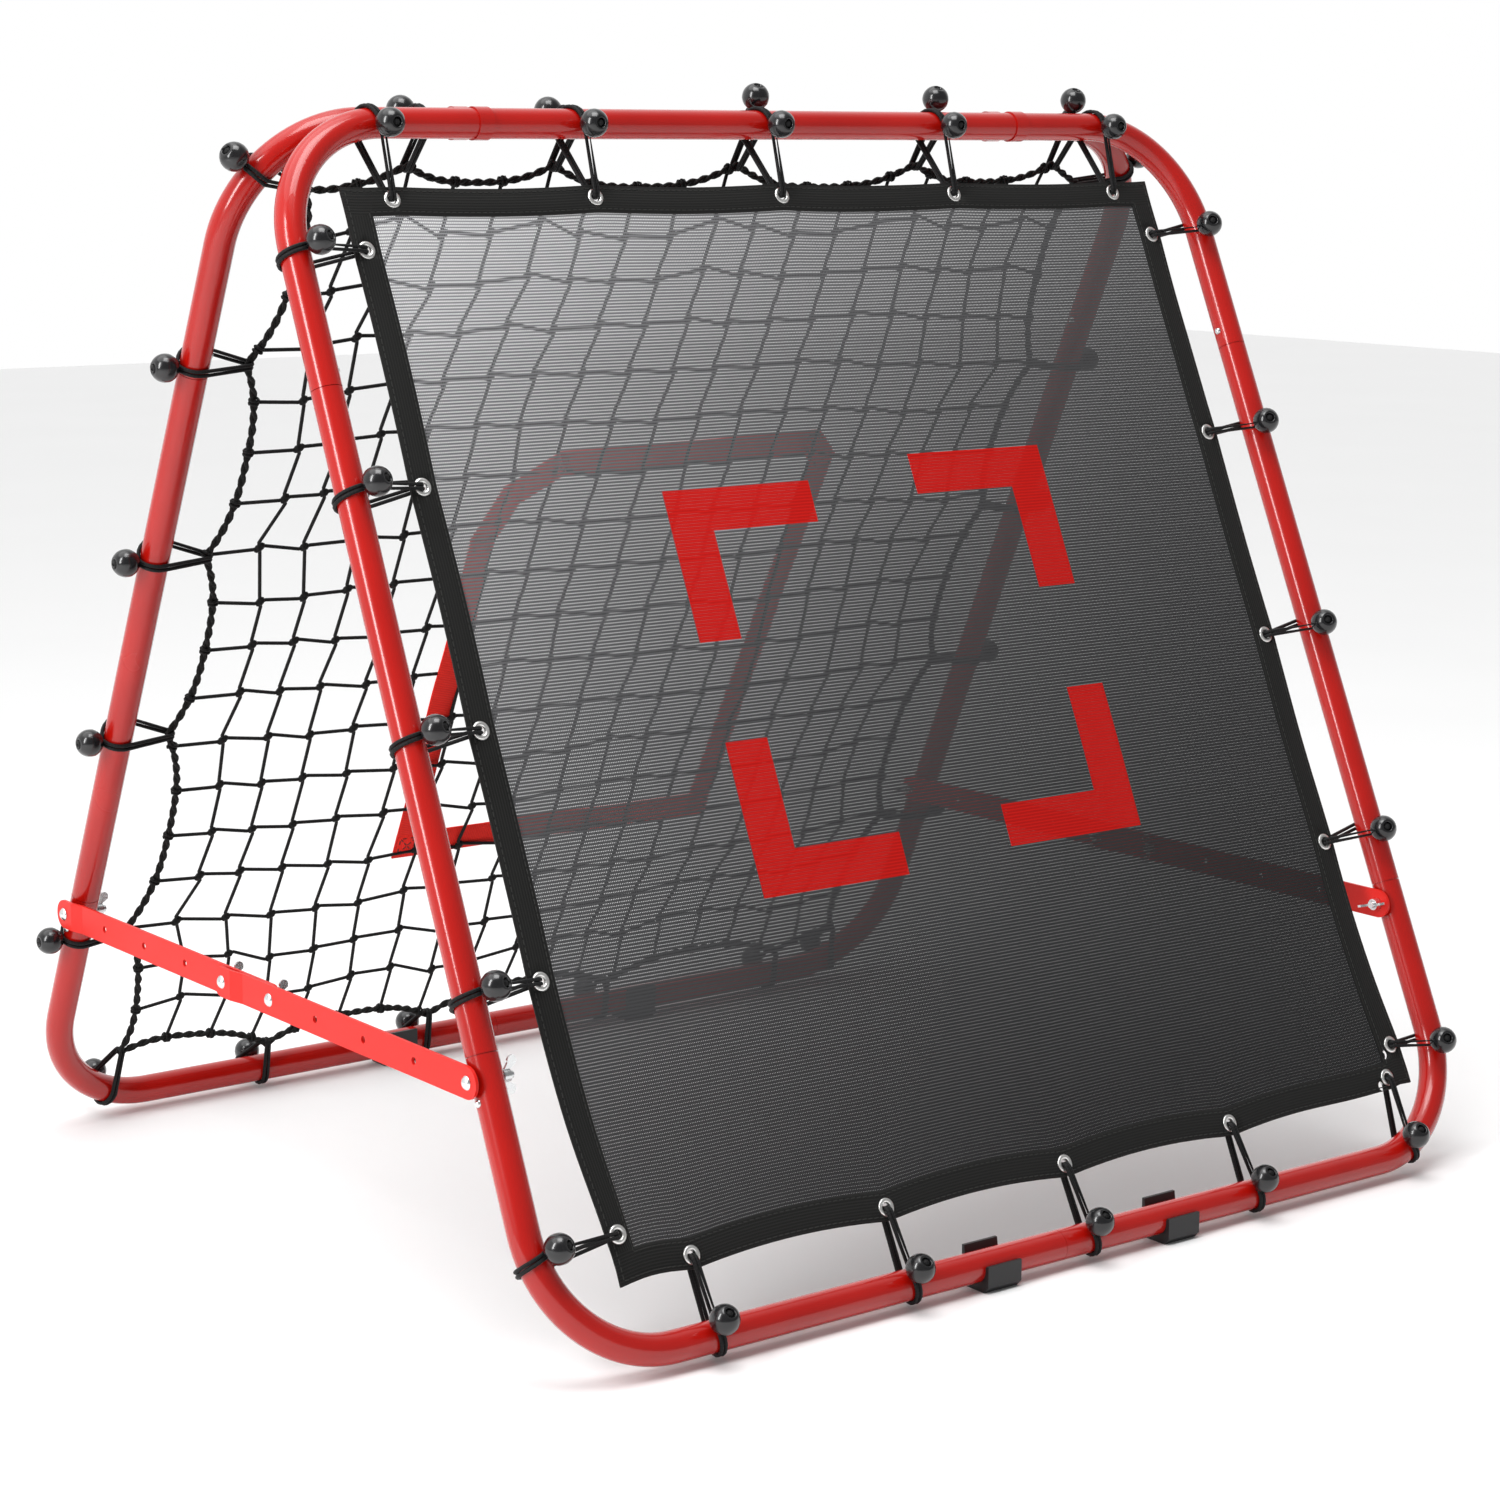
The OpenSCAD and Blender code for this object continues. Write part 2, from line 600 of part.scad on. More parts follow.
front_top_left_tube();
front_top_right_tube();
front_left_tube();
front_right_tube();
front_bottom_left_tube();
front_bottom_right_tube();
rear_top_left_tube();
rear_top_right_tube();
rear_left_tube();
rear_right_tube();
rear_bottom_left_tube();
rear_bottom_right_tube();
front_feet();
rear_feet();
hinge_clips();
front_post_bolts();
rear_post_bolts();
front_brace_spacers();
rear_brace_spacers();
left_front_brace();
left_rear_brace();
right_front_brace();
right_rear_brace();
left_brace_bolt_heads();
left_brace_bolt_ends();
right_brace_bolt_heads();
right_brace_bolt_ends();
left_front_wing_nut();
left_rear_wing_nut();
right_front_wing_nut();
right_rear_wing_nut();
left_brace_wing_nut_1();
left_brace_wing_nut_2();
right_brace_wing_nut_1();
right_brace_wing_nut_2();
front_left_upper_button();
front_right_upper_button();
front_left_lower_button();
front_right_lower_button();
rear_left_upper_button();
rear_right_upper_button();
rear_left_lower_button();
rear_right_lower_button();
rebound_panel();
panel_hem();
panel_grommets();
rebound_net();
net_border();
strike_zone_webbing();
front_bungee_cords();
front_bungee_balls();
rear_bungee_cords();
rear_bungee_balls();
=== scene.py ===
# %% [markdown]
# # A ball rebounder with two sides
# The real thing is two square frames of painted steel tube, leaning together like a tent. The front frame
# holds a taut sheet of mesh, which sends a ball back low and hard. The rear frame holds a knotted net, which
# sends it back softly. Elastic loops, each ended by a plastic ball, hold both of them in their frames.
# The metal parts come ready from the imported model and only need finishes. Mesh, net and cords are made here.

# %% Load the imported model
import json
import math
import random

import bmesh
import bpy
from mathutils import Matrix, Quaternion, Vector, noise


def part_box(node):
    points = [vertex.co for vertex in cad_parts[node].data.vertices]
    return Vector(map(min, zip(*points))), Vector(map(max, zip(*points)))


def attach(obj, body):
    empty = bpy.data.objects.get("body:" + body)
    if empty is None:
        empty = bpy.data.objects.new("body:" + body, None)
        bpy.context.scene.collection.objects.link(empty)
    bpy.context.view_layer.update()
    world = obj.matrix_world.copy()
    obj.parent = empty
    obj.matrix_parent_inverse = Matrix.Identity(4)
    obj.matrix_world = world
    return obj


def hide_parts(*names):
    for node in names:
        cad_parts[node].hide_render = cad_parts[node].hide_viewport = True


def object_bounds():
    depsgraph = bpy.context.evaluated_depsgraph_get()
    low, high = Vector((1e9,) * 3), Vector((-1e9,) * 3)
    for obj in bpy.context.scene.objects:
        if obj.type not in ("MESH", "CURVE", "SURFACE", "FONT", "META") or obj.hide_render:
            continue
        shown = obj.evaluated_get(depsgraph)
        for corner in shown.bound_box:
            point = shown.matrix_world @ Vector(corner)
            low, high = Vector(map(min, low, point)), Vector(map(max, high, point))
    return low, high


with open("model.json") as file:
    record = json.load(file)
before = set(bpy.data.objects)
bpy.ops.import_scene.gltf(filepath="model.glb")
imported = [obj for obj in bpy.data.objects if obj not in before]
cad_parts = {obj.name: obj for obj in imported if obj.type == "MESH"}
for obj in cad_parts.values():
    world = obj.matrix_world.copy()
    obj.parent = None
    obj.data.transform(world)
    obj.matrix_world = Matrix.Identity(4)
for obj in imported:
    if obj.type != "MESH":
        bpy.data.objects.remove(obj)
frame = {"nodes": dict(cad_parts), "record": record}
CAD_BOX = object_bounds()
NODES = frame["nodes"]
SCENE = bpy.context.scene
FULL_TURN = 2 * math.pi
random.seed(7)
noise.seed_set(7)                  # without a seed, vector noise differs from run to run


def stand(name, data):
    """Makes an object from its data and puts it in the scene."""
    made = bpy.data.objects.new(name, data)
    SCENE.collection.objects.link(made)
    return made


print("size:", [round(v, 3) for v in CAD_BOX[1] - CAD_BOX[0]])

# %% [markdown]
# ## Camera
# A long lens from standing height, well to the left, shows the mesh side and looks past it at the net. The
# camera is turned by the direction it looks in, and then rolled a little about that line.

# %% Camera
EYE = Vector((-1.799, -2.324, 0.9125))
YAW = math.radians(37.36)
PITCH = math.radians(8.5)
ROLL = math.radians(0.41)

lens = bpy.data.cameras.new("camera")
lens.sensor_width = 36
lens.lens = 80.9
lens.shift_x = 0.0167
lens.shift_y = -0.084
camera = stand("camera", lens)
ahead = math.cos(PITCH)
looking = Vector((math.sin(YAW) * ahead, math.cos(YAW) * ahead, -math.sin(PITCH)))
camera.location = EYE
camera.rotation_mode = "QUATERNION"
camera.rotation_quaternion = looking.to_track_quat("-Z", "Y") @ Quaternion((0, 0, 1), ROLL)
SCENE.camera = camera
SCENE.view_settings.view_transform = "Standard"
print("camera height:", round(EYE.z, 3), "distance to the middle:", round(EYE.length, 3))

# %% [markdown]
# ## Two leaning planes
# Everything soft lies in the plane of one of the frames. It is easiest to draw such a piece upright, with X
# across and Z up the frame, and to lean the finished mesh. The tubes give both planes: the lowest point of a
# bottom corner tube and the highest point of a top corner tube are one tube radius from their centrelines.

# %% The planes of the two frames
side_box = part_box("front_left_tube")
TUBE_R = (side_box[1].x - side_box[0].x) / 2
HALF = -side_box[0].x - TUBE_R


def lines_of(end, outward):
    """The centre of a frame's bottom bar and of its top bar, seen from the side."""
    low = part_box(f"{end}_bottom_left_tube")
    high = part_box(f"{end}_top_left_tube")
    foot_y = (low[1] if outward > 0 else low[0]).y - outward * TUBE_R
    head_y = (high[0] if outward > 0 else high[1]).y + outward * TUBE_R
    return Vector((0, foot_y, low[0].z + TUBE_R)), Vector((0, head_y, high[1].z - TUBE_R))


def plane_of(end, outward):
    foot, head = lines_of(end, outward)
    rise = head - foot
    return Matrix.Translation(foot) @ Matrix.Rotation(math.atan2(-rise.y, rise.z), 4, "X")


FRONT = plane_of("front", -1)
REAR = plane_of("rear", 1)
SPAN = (lines_of("front", -1)[1] - lines_of("front", -1)[0]).length
BEND_R = 0.105                     # corner bends, on the tube's centreline
print("tube:", round(TUBE_R * 2000, 1), "mm, frame across:", round(2 * HALF, 4), "up:", round(SPAN, 4))

# %% [markdown]
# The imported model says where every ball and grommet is. Each is an island of its node's mesh, so the islands
# are found on a merged copy, and their middles are read in the plane of their frame.


# %% Find the islands of a node
def box_of(points):
    """The low and the high corner of a set of points."""
    return [Vector([pick(p[k] for p in points) for k in range(3)]) for pick in (min, max)]


def islands(node, plane):
    """The middle of each separate solid of a node, in a frame's own plane."""
    bm = bmesh.new()
    bm.from_mesh(NODES[node].data)
    bmesh.ops.remove_doubles(bm, verts=bm.verts, dist=1e-6)
    to_plane = plane.inverted()
    middles = []
    left = set(bm.verts)
    while left:
        island = [left.pop()]
        for vert in island:
            fresh = [e.other_vert(vert) for e in vert.link_edges]
            fresh = [v for v in fresh if v in left]
            left.difference_update(fresh)
            island.extend(fresh)
        low, high = box_of([to_plane @ v.co for v in island])
        middles.append(Vector([(a + b) / 2 for a, b in zip(low, high)]))
    bm.free()
    return sorted(middles, key=lambda p: (round(p.z, 3), round(p.x, 3)))


def plane_box(node, plane):
    to_plane = plane.inverted()
    return box_of([to_plane @ v.co for v in NODES[node].data.vertices])


GROMMETS = islands("panel_grommets", FRONT)
FRONT_BALLS = islands("front_bungee_balls", FRONT)
REAR_BALLS = islands("rear_bungee_balls", REAR)
print("grommets:", len(GROMMETS), "balls:", len(FRONT_BALLS), "and", len(REAR_BALLS))

# %% [markdown]
# ## Finishes
# A finish is a small network of nodes. Small helpers keep each one short: they add a node with its values set,
# add a sum, or stretch a share to a range. Patterns that several finishes share are made once, as groups.


# %% Node helpers
def add(tree, kind, **values):
    """Adds a node. A value is a number for an input's name, or a setting of the node itself."""
    made = tree.nodes.new(kind)
    for name, value in values.items():
        if hasattr(made, name):
            setattr(made, name, value)
        else:
            made.inputs[name.replace("_", " ")].default_value = value
    return made


def calc(tree, operation, *terms):
    step = add(tree, "ShaderNodeMath", operation=operation)
    for socket, term in zip(step.inputs, terms):
        if isinstance(term, (int, float)):
            socket.default_value = term
        else:
            tree.links.new(term, socket)
    return step.outputs[0]


def spread(tree, share, low, high):
    """Turns a share from 0 to 1 into a value from low to high."""
    step = add(tree, "ShaderNodeMapRange", To_Min=low, To_Max=high)
    tree.links.new(share, step.inputs["Value"])
    return step.outputs[0]


def colours(sockets):
    """The colour sockets of a Mix node, which has others for numbers and vectors."""
    return [socket for socket in sockets if socket.type == "RGBA"]


def group(name, inputs, outputs):
    """An empty node group, with its input and output nodes."""
    tree = bpy.data.node_groups.new(name, "ShaderNodeTree")
    for label, kind, value in inputs:
        socket = tree.interface.new_socket(label, in_out="INPUT",
                                           socket_type=f"NodeSocket{kind}")
        if value is not None:
            socket.default_value = value
    for label, kind in outputs:
        tree.interface.new_socket(label, in_out="OUTPUT", socket_type=f"NodeSocket{kind}")
    return tree, tree.nodes.new("NodeGroupInput"), tree.nodes.new("NodeGroupOutput")


def use(tree, made, vector, **values):
    """Places a group in a material, with the coordinates it reads and its own values."""
    placed = tree.nodes.new("ShaderNodeGroup")
    placed.node_tree = made
    tree.links.new(vector, placed.inputs["Vector"])
    for name, value in values.items():
        socket = placed.inputs[name.replace("_", " ")]
        if isinstance(value, (int, float)):
            socket.default_value = value
        else:
            tree.links.new(value, socket)
    return placed.outputs


print("node helpers ready")

# %% [markdown]
# **Grain** is the fine unevenness of anything moulded or sprayed. A noise of a stated size gives a height for
# a Bump node and a mask that tints the colour and the roughness.

# %% Grain group
GRAIN, grain_in, grain_out = group(
    "grain",
    [("Vector", "Vector", None), ("Size", "Float", 0.001), ("Patch", "Float", 0.05)],
    [("Height", "Float"), ("Mask", "Float")],
)
fine = add(GRAIN, "ShaderNodeTexNoise", Detail=3.0, Roughness=0.6)
broad = add(GRAIN, "ShaderNodeTexNoise", Detail=2.0, Roughness=0.5)
for texture, size in ((fine, "Size"), (broad, "Patch")):
    GRAIN.links.new(grain_in.outputs["Vector"], texture.inputs["Vector"])
    GRAIN.links.new(calc(GRAIN, "DIVIDE", 1.0, grain_in.outputs[size]), texture.inputs["Scale"])
GRAIN.links.new(fine.outputs[0], grain_out.inputs["Height"])
GRAIN.links.new(broad.outputs[0], grain_out.inputs["Mask"])
print("group:", GRAIN.name)

# %% [markdown]
# **Weave** is for cloth that lies flat. Its coordinates are metres across and up the sheet. Two triangle waves
# make ribs across and thinner threads up. Openness is the share of holes between them, from 0 to 1.

# %% Weave group
WEAVE, weave_in, weave_out = group(
    "weave",
    [("Vector", "Vector", None), ("Rib", "Float", 0.0027), ("Thread", "Float", 0.0015),
     ("Openness", "Float", 0.3)],
    [("Cover", "Float"), ("Height", "Float")],
)
across = add(WEAVE, "ShaderNodeSeparateXYZ")
WEAVE.links.new(weave_in.outputs["Vector"], across.inputs[0])
gap = calc(WEAVE, "SQRT", weave_in.outputs["Openness"])


def yarn(along, pitch):
    """0 in the middle of a yarn and 1 in the middle of the gap beside it."""
    turns = calc(WEAVE, "FRACT", calc(WEAVE, "DIVIDE", along, pitch))
    return calc(WEAVE, "MULTIPLY", calc(WEAVE, "ABSOLUTE", calc(WEAVE, "SUBTRACT", turns, 0.5)), 2.0)


def covered(wave):
    """1 on a yarn and 0 in the gap beside it, with a soft edge between."""
    edge = calc(WEAVE, "SUBTRACT", calc(WEAVE, "SUBTRACT", 1.0, gap), wave)
    step = calc(WEAVE, "MULTIPLY_ADD", edge, 6.0, 0.5)
    step.node.use_clamp = True
    return step


rib = yarn(across.outputs["Y"], weave_in.outputs["Rib"])
thread = yarn(across.outputs["X"], weave_in.outputs["Thread"])
thread_crest = calc(WEAVE, "MULTIPLY", calc(WEAVE, "SUBTRACT", 1.0, thread), 0.6)
crest = calc(WEAVE, "MAXIMUM", calc(WEAVE, "SUBTRACT", 1.0, rib), thread_crest)
WEAVE.links.new(calc(WEAVE, "MAXIMUM", covered(rib), covered(thread)), weave_out.inputs["Cover"])
WEAVE.links.new(crest, weave_out.inputs["Height"])
print("group:", WEAVE.name)

# %% [markdown]
# **Braid** is for cords. A cord's own coordinates are metres along and turns around it, so two sets of
# slanting waves that cross give the plaited cover of an elastic or a twine.

# %% Braid group
BRAID, braid_in, braid_out = group(
    "braid",
    [("Vector", "Vector", None), ("Pitch", "Float", 0.006), ("Yarns", "Float", 4.0)],
    [("Height", "Float")],
)
cord_at = add(BRAID, "ShaderNodeSeparateXYZ")
BRAID.links.new(braid_in.outputs["Vector"], cord_at.inputs[0])
run = calc(BRAID, "DIVIDE", cord_at.outputs["X"], braid_in.outputs["Pitch"])
lap = calc(BRAID, "MULTIPLY", cord_at.outputs["Y"], braid_in.outputs["Yarns"])
left_lay = calc(BRAID, "SINE", calc(BRAID, "MULTIPLY", calc(BRAID, "ADD", run, lap), FULL_TURN))
right_lay = calc(BRAID, "SINE", calc(BRAID, "MULTIPLY", calc(BRAID, "SUBTRACT", run, lap), FULL_TURN))
over_under = calc(BRAID, "MULTIPLY", left_lay, right_lay)
BRAID.links.new(calc(BRAID, "MULTIPLY_ADD", over_under, 0.5, 0.5), braid_out.inputs["Height"])
print("group:", BRAID.name)

# %% [markdown]
# Every finish starts the same way: a Principled shader, a pattern that mixes two close colours, a roughness
# that the same mask moves up and down, and a Bump from the pattern's height.


# %% A finish
def finish(name, dark, light, rough, bump, fixed=(), coordinates="Object"):
    """A material that still lacks its pattern, and a way to plug the pattern in."""
    material = bpy.data.materials.new(name)
    material.use_nodes = True
    tree = material.node_tree
    shader = tree.nodes["Principled BSDF"]
    for label, value in dict(fixed).items():
        shader.inputs[label].default_value = value
    place = add(tree, "ShaderNodeTexCoord").outputs[coordinates]

    def plug(height, mask):
        colour = add(tree, "ShaderNodeMix", data_type="RGBA")
        first, second = colours(colour.inputs)
        first.default_value = (*dark, 1)
        second.default_value = (*light, 1)
        tree.links.new(mask, colour.inputs[0])
        tree.links.new(colours(colour.outputs)[0], shader.inputs["Base Color"])
        tree.links.new(spread(tree, mask, *rough), shader.inputs["Roughness"])
        relief = add(tree, "ShaderNodeBump", Strength=bump[0], Distance=bump[1])
        tree.links.new(height, relief.inputs["Height"])
        tree.links.new(relief.outputs[0], shader.inputs["Normal"])
        return colour, shader

    return material, tree, place, plug


print("finish helper ready")

# %% [markdown]
# ### Hard parts
# The tubes and straps have a gloss powder coat, which always shows a faint orange peel. The straps take a
# copy of the red that is painted lighter, painted light for flat faces that turn to the lamps. The bolts, wing
# nuts and snap buttons are bright zinc. Feet and spacers are moulded satin plastic, and the balls are polished.


# %% Finishes of the hard parts
def plain(name, dark, light, rough, bump, size, patch, **fixed):
    """A finish whose only pattern is grain."""
    material, tree, place, plug = finish(name, dark, light, rough, bump, fixed)
    grain = use(tree, GRAIN, place, Size=size, Patch=patch)
    plug(grain["Height"], grain["Mask"])
    return material


powder_coat = plain(
    "red_powder_coat", (0.34, 0.0030, 0.0012), (0.48, 0.0065, 0.0028), (0.20, 0.30),
    (0.10, 0.0002), 0.0016, 0.09,
    **{"Coat Weight": 0.5, "Coat Roughness": 0.05, "Specular IOR Level": 0.35})
# The straps' copy of the red coat is painted lighter: painted light, as their flat faces turn to the lamps.
strap_coat_painted_light = plain(
    "red_coat_with_painted_light", (0.60, 0.010, 0.006), (0.78, 0.018, 0.011), (0.34, 0.46),
    (0.12, 0.0002), 0.0014, 0.05, **{"Specular IOR Level": 0.25})
zinc = plain(
    "bright_zinc", (0.62, 0.64, 0.66), (0.86, 0.86, 0.85), (0.16, 0.38),
    (0.15, 0.0001), 0.0005, 0.006, Metallic=1.0)
satin_black = plain(
    "satin_black_plastic", (0.006, 0.006, 0.007), (0.012, 0.012, 0.013), (0.38, 0.52),
    (0.25, 0.0001), 0.0005, 0.012)
nylon_black = plain(
    "black_nylon", (0.012, 0.012, 0.012), (0.022, 0.022, 0.023), (0.50, 0.62),
    (0.2, 0.0001), 0.0007, 0.01)
polished_black = plain(
    "polished_black_plastic", (0.003, 0.003, 0.004), (0.008, 0.008, 0.009), (0.16, 0.30),
    (0.08, 0.0001), 0.0012, 0.01, **{"Coat Weight": 0.4, "Coat Roughness": 0.12})
nickel = plain(
    "polished_nickel", (0.84, 0.83, 0.81), (0.96, 0.96, 0.94), (0.26, 0.40),
    (0.1, 0.0001), 0.0006, 0.004, Metallic=1.0)

FINISHES = {
    "red_powder_coat": powder_coat,
    "zinc_plate": zinc,
    "black_plastic": satin_black,
    "black_nylon": nylon_black,
}
for entry in frame["record"]["subparts"]:
    if entry["material_slot"] in FINISHES:
        # The braces take the copy of the red with painted light.
        on_strap = entry["node"].endswith("_brace")
        mesh = NODES[entry["node"]].data
        mesh.materials.clear()
        mesh.materials.append(strap_coat_painted_light if on_strap else FINISHES[entry["material_slot"]])
print("hard finishes:", len(FINISHES))

# %% [markdown]
# ### Cloth and cord
# The mesh is coated yarn with holes between, so its Alpha comes from the weave. It is more open at the upper
# left, where the light falls through it, and closes towards the lower right. Its yarn is painted paler towards
# the upper left too, a painted sheen. The target is printed on it in red, which fills most of the holes. Hem,
# webbing, twine and elastic are close woven or plaited.


# %% Finish of the mesh and of its printed target
def mesh_finish(name, dark, light, pale, least_open, most_open):
    """Coated yarn with holes. Openness and a painted sheen, a pale tint, both fade from the upper left."""
    material, tree, place, plug = finish(name, dark, light, (0.50, 0.66), (0.4, 0.0003),
                                         {"Specular IOR Level": 0.12}, "UV")
    at = add(tree, "ShaderNodeSeparateXYZ")
    tree.links.new(place, at.inputs[0])
    fall_across = calc(tree, "MULTIPLY", calc(tree, "ADD", at.outputs["X"], 0.40), -2.1)
    fall_down = calc(tree, "MULTIPLY", calc(tree, "SUBTRACT", 0.90, at.outputs["Y"]), -2.9)
    share = calc(tree, "EXPONENT", calc(tree, "ADD", fall_across, fall_down))
    openness = spread(tree, share, least_open, most_open)
    weave = use(tree, WEAVE, place, Rib=0.0027, Thread=0.0017, Openness=openness)
    # The weave's height is also its colour mask: the gaps between yarns are painted darker, a painted shade,
    # and the crests lighter, a painted highlight.
    colour, shader = plug(weave["Height"], weave["Height"])
    # A painted sheen: the yarn is painted paler towards the upper left, where the light falls on it.
    painted_sheen = add(tree, "ShaderNodeMix", data_type="RGBA")
    first, second = colours(painted_sheen.inputs)
    tree.links.new(share, painted_sheen.inputs[0])
    tree.links.new(colours(colour.outputs)[0], first)
    second.default_value = (*pale, 1)
    tree.links.new(colours(painted_sheen.outputs)[0], shader.inputs["Base Color"])
    tree.links.new(weave["Cover"], shader.inputs["Alpha"])
    return material


# The last colour of each mesh is its painted sheen.
black_mesh = mesh_finish("black_mesh", (0.004, 0.004, 0.004), (0.018, 0.018, 0.019),
                         (0.30, 0.30, 0.31), 0.006, 0.34)
printed_mesh = mesh_finish("red_printed_mesh", (0.26, 0.003, 0.002), (0.56, 0.008, 0.005),
                           (0.62, 0.010, 0.007), 0, 0.03)
print("mesh finishes:", black_mesh.name, printed_mesh.name)

# %% [markdown]
# The close cloths differ only in their colours, their sheen and the size of their threads, so one function
# makes them all. Flat webbing takes the weave and a round cord takes the braid.


# %% Finishes of hem, webbing and cords
def cloth(name, dark, light, rough, sheen, pattern, **values):
    """A woven or plaited finish, whose pattern follows the piece's own map."""
    fixed = {"Specular IOR Level": 0.15, "Sheen Weight": sheen, "Sheen Roughness": 0.5}
    material, tree, place, plug = finish(name, dark, light, rough, (0.6, 0.0003), fixed, "UV")
    height = use(tree, pattern, place, **values)["Height"]
    # The height is also the colour mask: the gaps between yarns are painted darker, a painted shade, and the
    # crests lighter, a painted highlight.
    plug(height, height)
    return material


hem_cloth = cloth("black_hem_webbing", (0.002, 0.002, 0.002), (0.018, 0.018, 0.017),
                  (0.55, 0.75), 0.04, WEAVE, Rib=0.0024, Thread=0.0017, Openness=0.2)
seam_thread = cloth("hem_thread", (0.012, 0.012, 0.012), (0.050, 0.050, 0.047),
                    (0.5, 0.7), 0.05, BRAID, Pitch=0.0012, Yarns=2.0)
red_webbing = cloth("red_webbing", (0.60, 0.012, 0.008), (0.90, 0.028, 0.016),
                    (0.55, 0.75), 0.05, WEAVE, Rib=0.0020, Thread=0.0014, Openness=0.2)
elastic = cloth("black_elastic", (0.003, 0.003, 0.003), (0.016, 0.016, 0.017),
                (0.45, 0.65), 0.03, BRAID, Pitch=0.005, Yarns=4.0)
twine = cloth("black_twine", (0.003, 0.003, 0.003), (0.016, 0.016, 0.016),
              (0.55, 0.8), 0.03, BRAID, Pitch=0.004, Yarns=3.0)
rope_yarn = cloth("black_rope_yarn", (0.003, 0.003, 0.003), (0.018, 0.018, 0.017),
                  (0.6, 0.85), 0.05, BRAID, Pitch=0.005, Yarns=3.0)
print("cloth finishes ready")

# %% [markdown]
# ## Tools for making pieces
# A finished bmesh becomes a piece in one place: it is leaned into its frame, becomes an object at the origin,
# takes its finish, and rides on its body.


# %% From bmesh to piece
def piece(bm, name, finishes, plane, body, smooth=True):
    """Makes the finished object of a bmesh that was drawn upright."""
    bm.transform(plane)
    mesh = bpy.data.meshes.new(name)
    bm.to_mesh(mesh)
    bm.free()
    for material in finishes:
        mesh.materials.append(material)
    if smooth:
        mesh.shade_smooth()
    made = stand(name, mesh)
    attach(made, body)
    low, high = box_of([v.co for v in mesh.vertices])
    print(f"{name}: {len(mesh.polygons)} faces, {[round(v, 3) for v in high - low]} m")
    return made


def map_loops(bm, rule):
    """Gives every corner of every face its place in the piece's own map."""
    uv = bm.loops.layers.uv.verify()
    for face in bm.faces:
        for loop in face.loops:
            loop[uv].uv = rule(loop.vert.co)


def cut_at(bm, axis, places):
    """Cuts a sheet right across at each place along an axis."""
    for place in places:
        point, normal = Vector(), Vector()
        point[axis] = place
        normal[axis] = 1
        everything = bm.verts[:] + bm.edges[:] + bm.faces[:]
        bmesh.ops.bisect_plane(bm, geom=everything, dist=1e-6, plane_co=point, plane_no=normal)


print("piece helpers ready")

# %% [markdown]
# A cord is a small circle pushed along its path. Each step extrudes the ring's edges and moves the new ring to
# the next point, turned into the new direction, so the tube never twists. The distance along and the turn
# around are kept on the vertices as it grows, and become the cord's own map at the end.

# %% Lay a cord along a path
SCRATCH = bpy.data.meshes.new("scratch")


def lay_cord(whole, points, radius, sides=8):
    """Adds one closed round cord to a bmesh, mapped in metres along and turns around."""
    bm = bmesh.new()
    along = bm.verts.layers.float.new("along")
    around = bm.verts.layers.float.new("around")
    heading = [(b - a).normalized() for a, b in zip(points, points[1:])]
    between = [(a + b).normalized() for a, b in zip(heading, heading[1:])]
    heading = [heading[0], *between, heading[-1]]
    start = Vector((0, 0, 1)).rotation_difference(heading[0])
    place = Matrix.Translation(points[0]) @ start.to_matrix().to_4x4()
    ring = bmesh.ops.create_circle(bm, segments=sides, radius=radius, matrix=place)["verts"]
    for i, vert in enumerate(ring):
        vert[around] = i / sides
    rim = bm.edges[:]
    length = 0
    for a, b, before, after in zip(points, points[1:], heading, heading[1:]):
        made = bmesh.ops.extrude_edge_only(bm, edges=rim)["geom"]
        fresh = [g for g in made if isinstance(g, bmesh.types.BMVert)]
        there = set(fresh)
        rim = [g for g in made
               if isinstance(g, bmesh.types.BMEdge) and there.issuperset(g.verts)]
        turn = before.rotation_difference(after).to_matrix().to_4x4()
        onward = Matrix.Translation(b) @ turn @ Matrix.Translation(-a)
        bmesh.ops.transform(bm, matrix=onward, verts=fresh)
        length += (b - a).length
        for vert in fresh:
            vert[along] = length
    bmesh.ops.holes_fill(bm, edges=[e for e in bm.edges if e.is_boundary], sides=0)
    bmesh.ops.recalc_face_normals(bm, faces=bm.faces)
    uv = bm.loops.layers.uv.new("UVMap")
    for face in bm.faces:
        turns = [loop.vert[around] for loop in face.loops]
        wraps = max(turns) - min(turns) > 0.5
        for loop, turn in zip(face.loops, turns):
            loop[uv].uv = (loop.vert[along], turn + 1 if wraps and turn < 0.5 else turn)
    bm.to_mesh(SCRATCH)
    bm.free()
    whole.from_mesh(SCRATCH)
    return length


print("cord helper ready")

# %% [markdown]
# ## The mesh panel
# The panel is one square of mesh in a folded hem, pulled tight at twenty grommets. Between two grommets
# nothing pulls the edge, so it draws in a little and the outline becomes a row of shallow curves. One function
# gives that inward pull anywhere on the panel, and mesh, hem and stitches all use it, so they stay together.

# %% How the elastics pull the panel
hem_box = plane_box("panel_hem", FRONT)
mesh_box = plane_box("rebound_panel", FRONT)
LEFT, RIGHT = hem_box[0].x, hem_box[1].x
FOOT, HEAD = hem_box[0].z, hem_box[1].z
NEAR = 0.03                        # a grommet this close to an edge belongs to it
SIDE_PULL, FOOT_PULL, HEAD_PULL = 0.0015, 0.006, 0.0025   # an edge draws in between holes
LEFT_DRAW, RIGHT_DRAW, RIGHT_LIFT = 0.018, 0.012, 0.008   # the two low corners draw in
RIPPLE = 0.0012

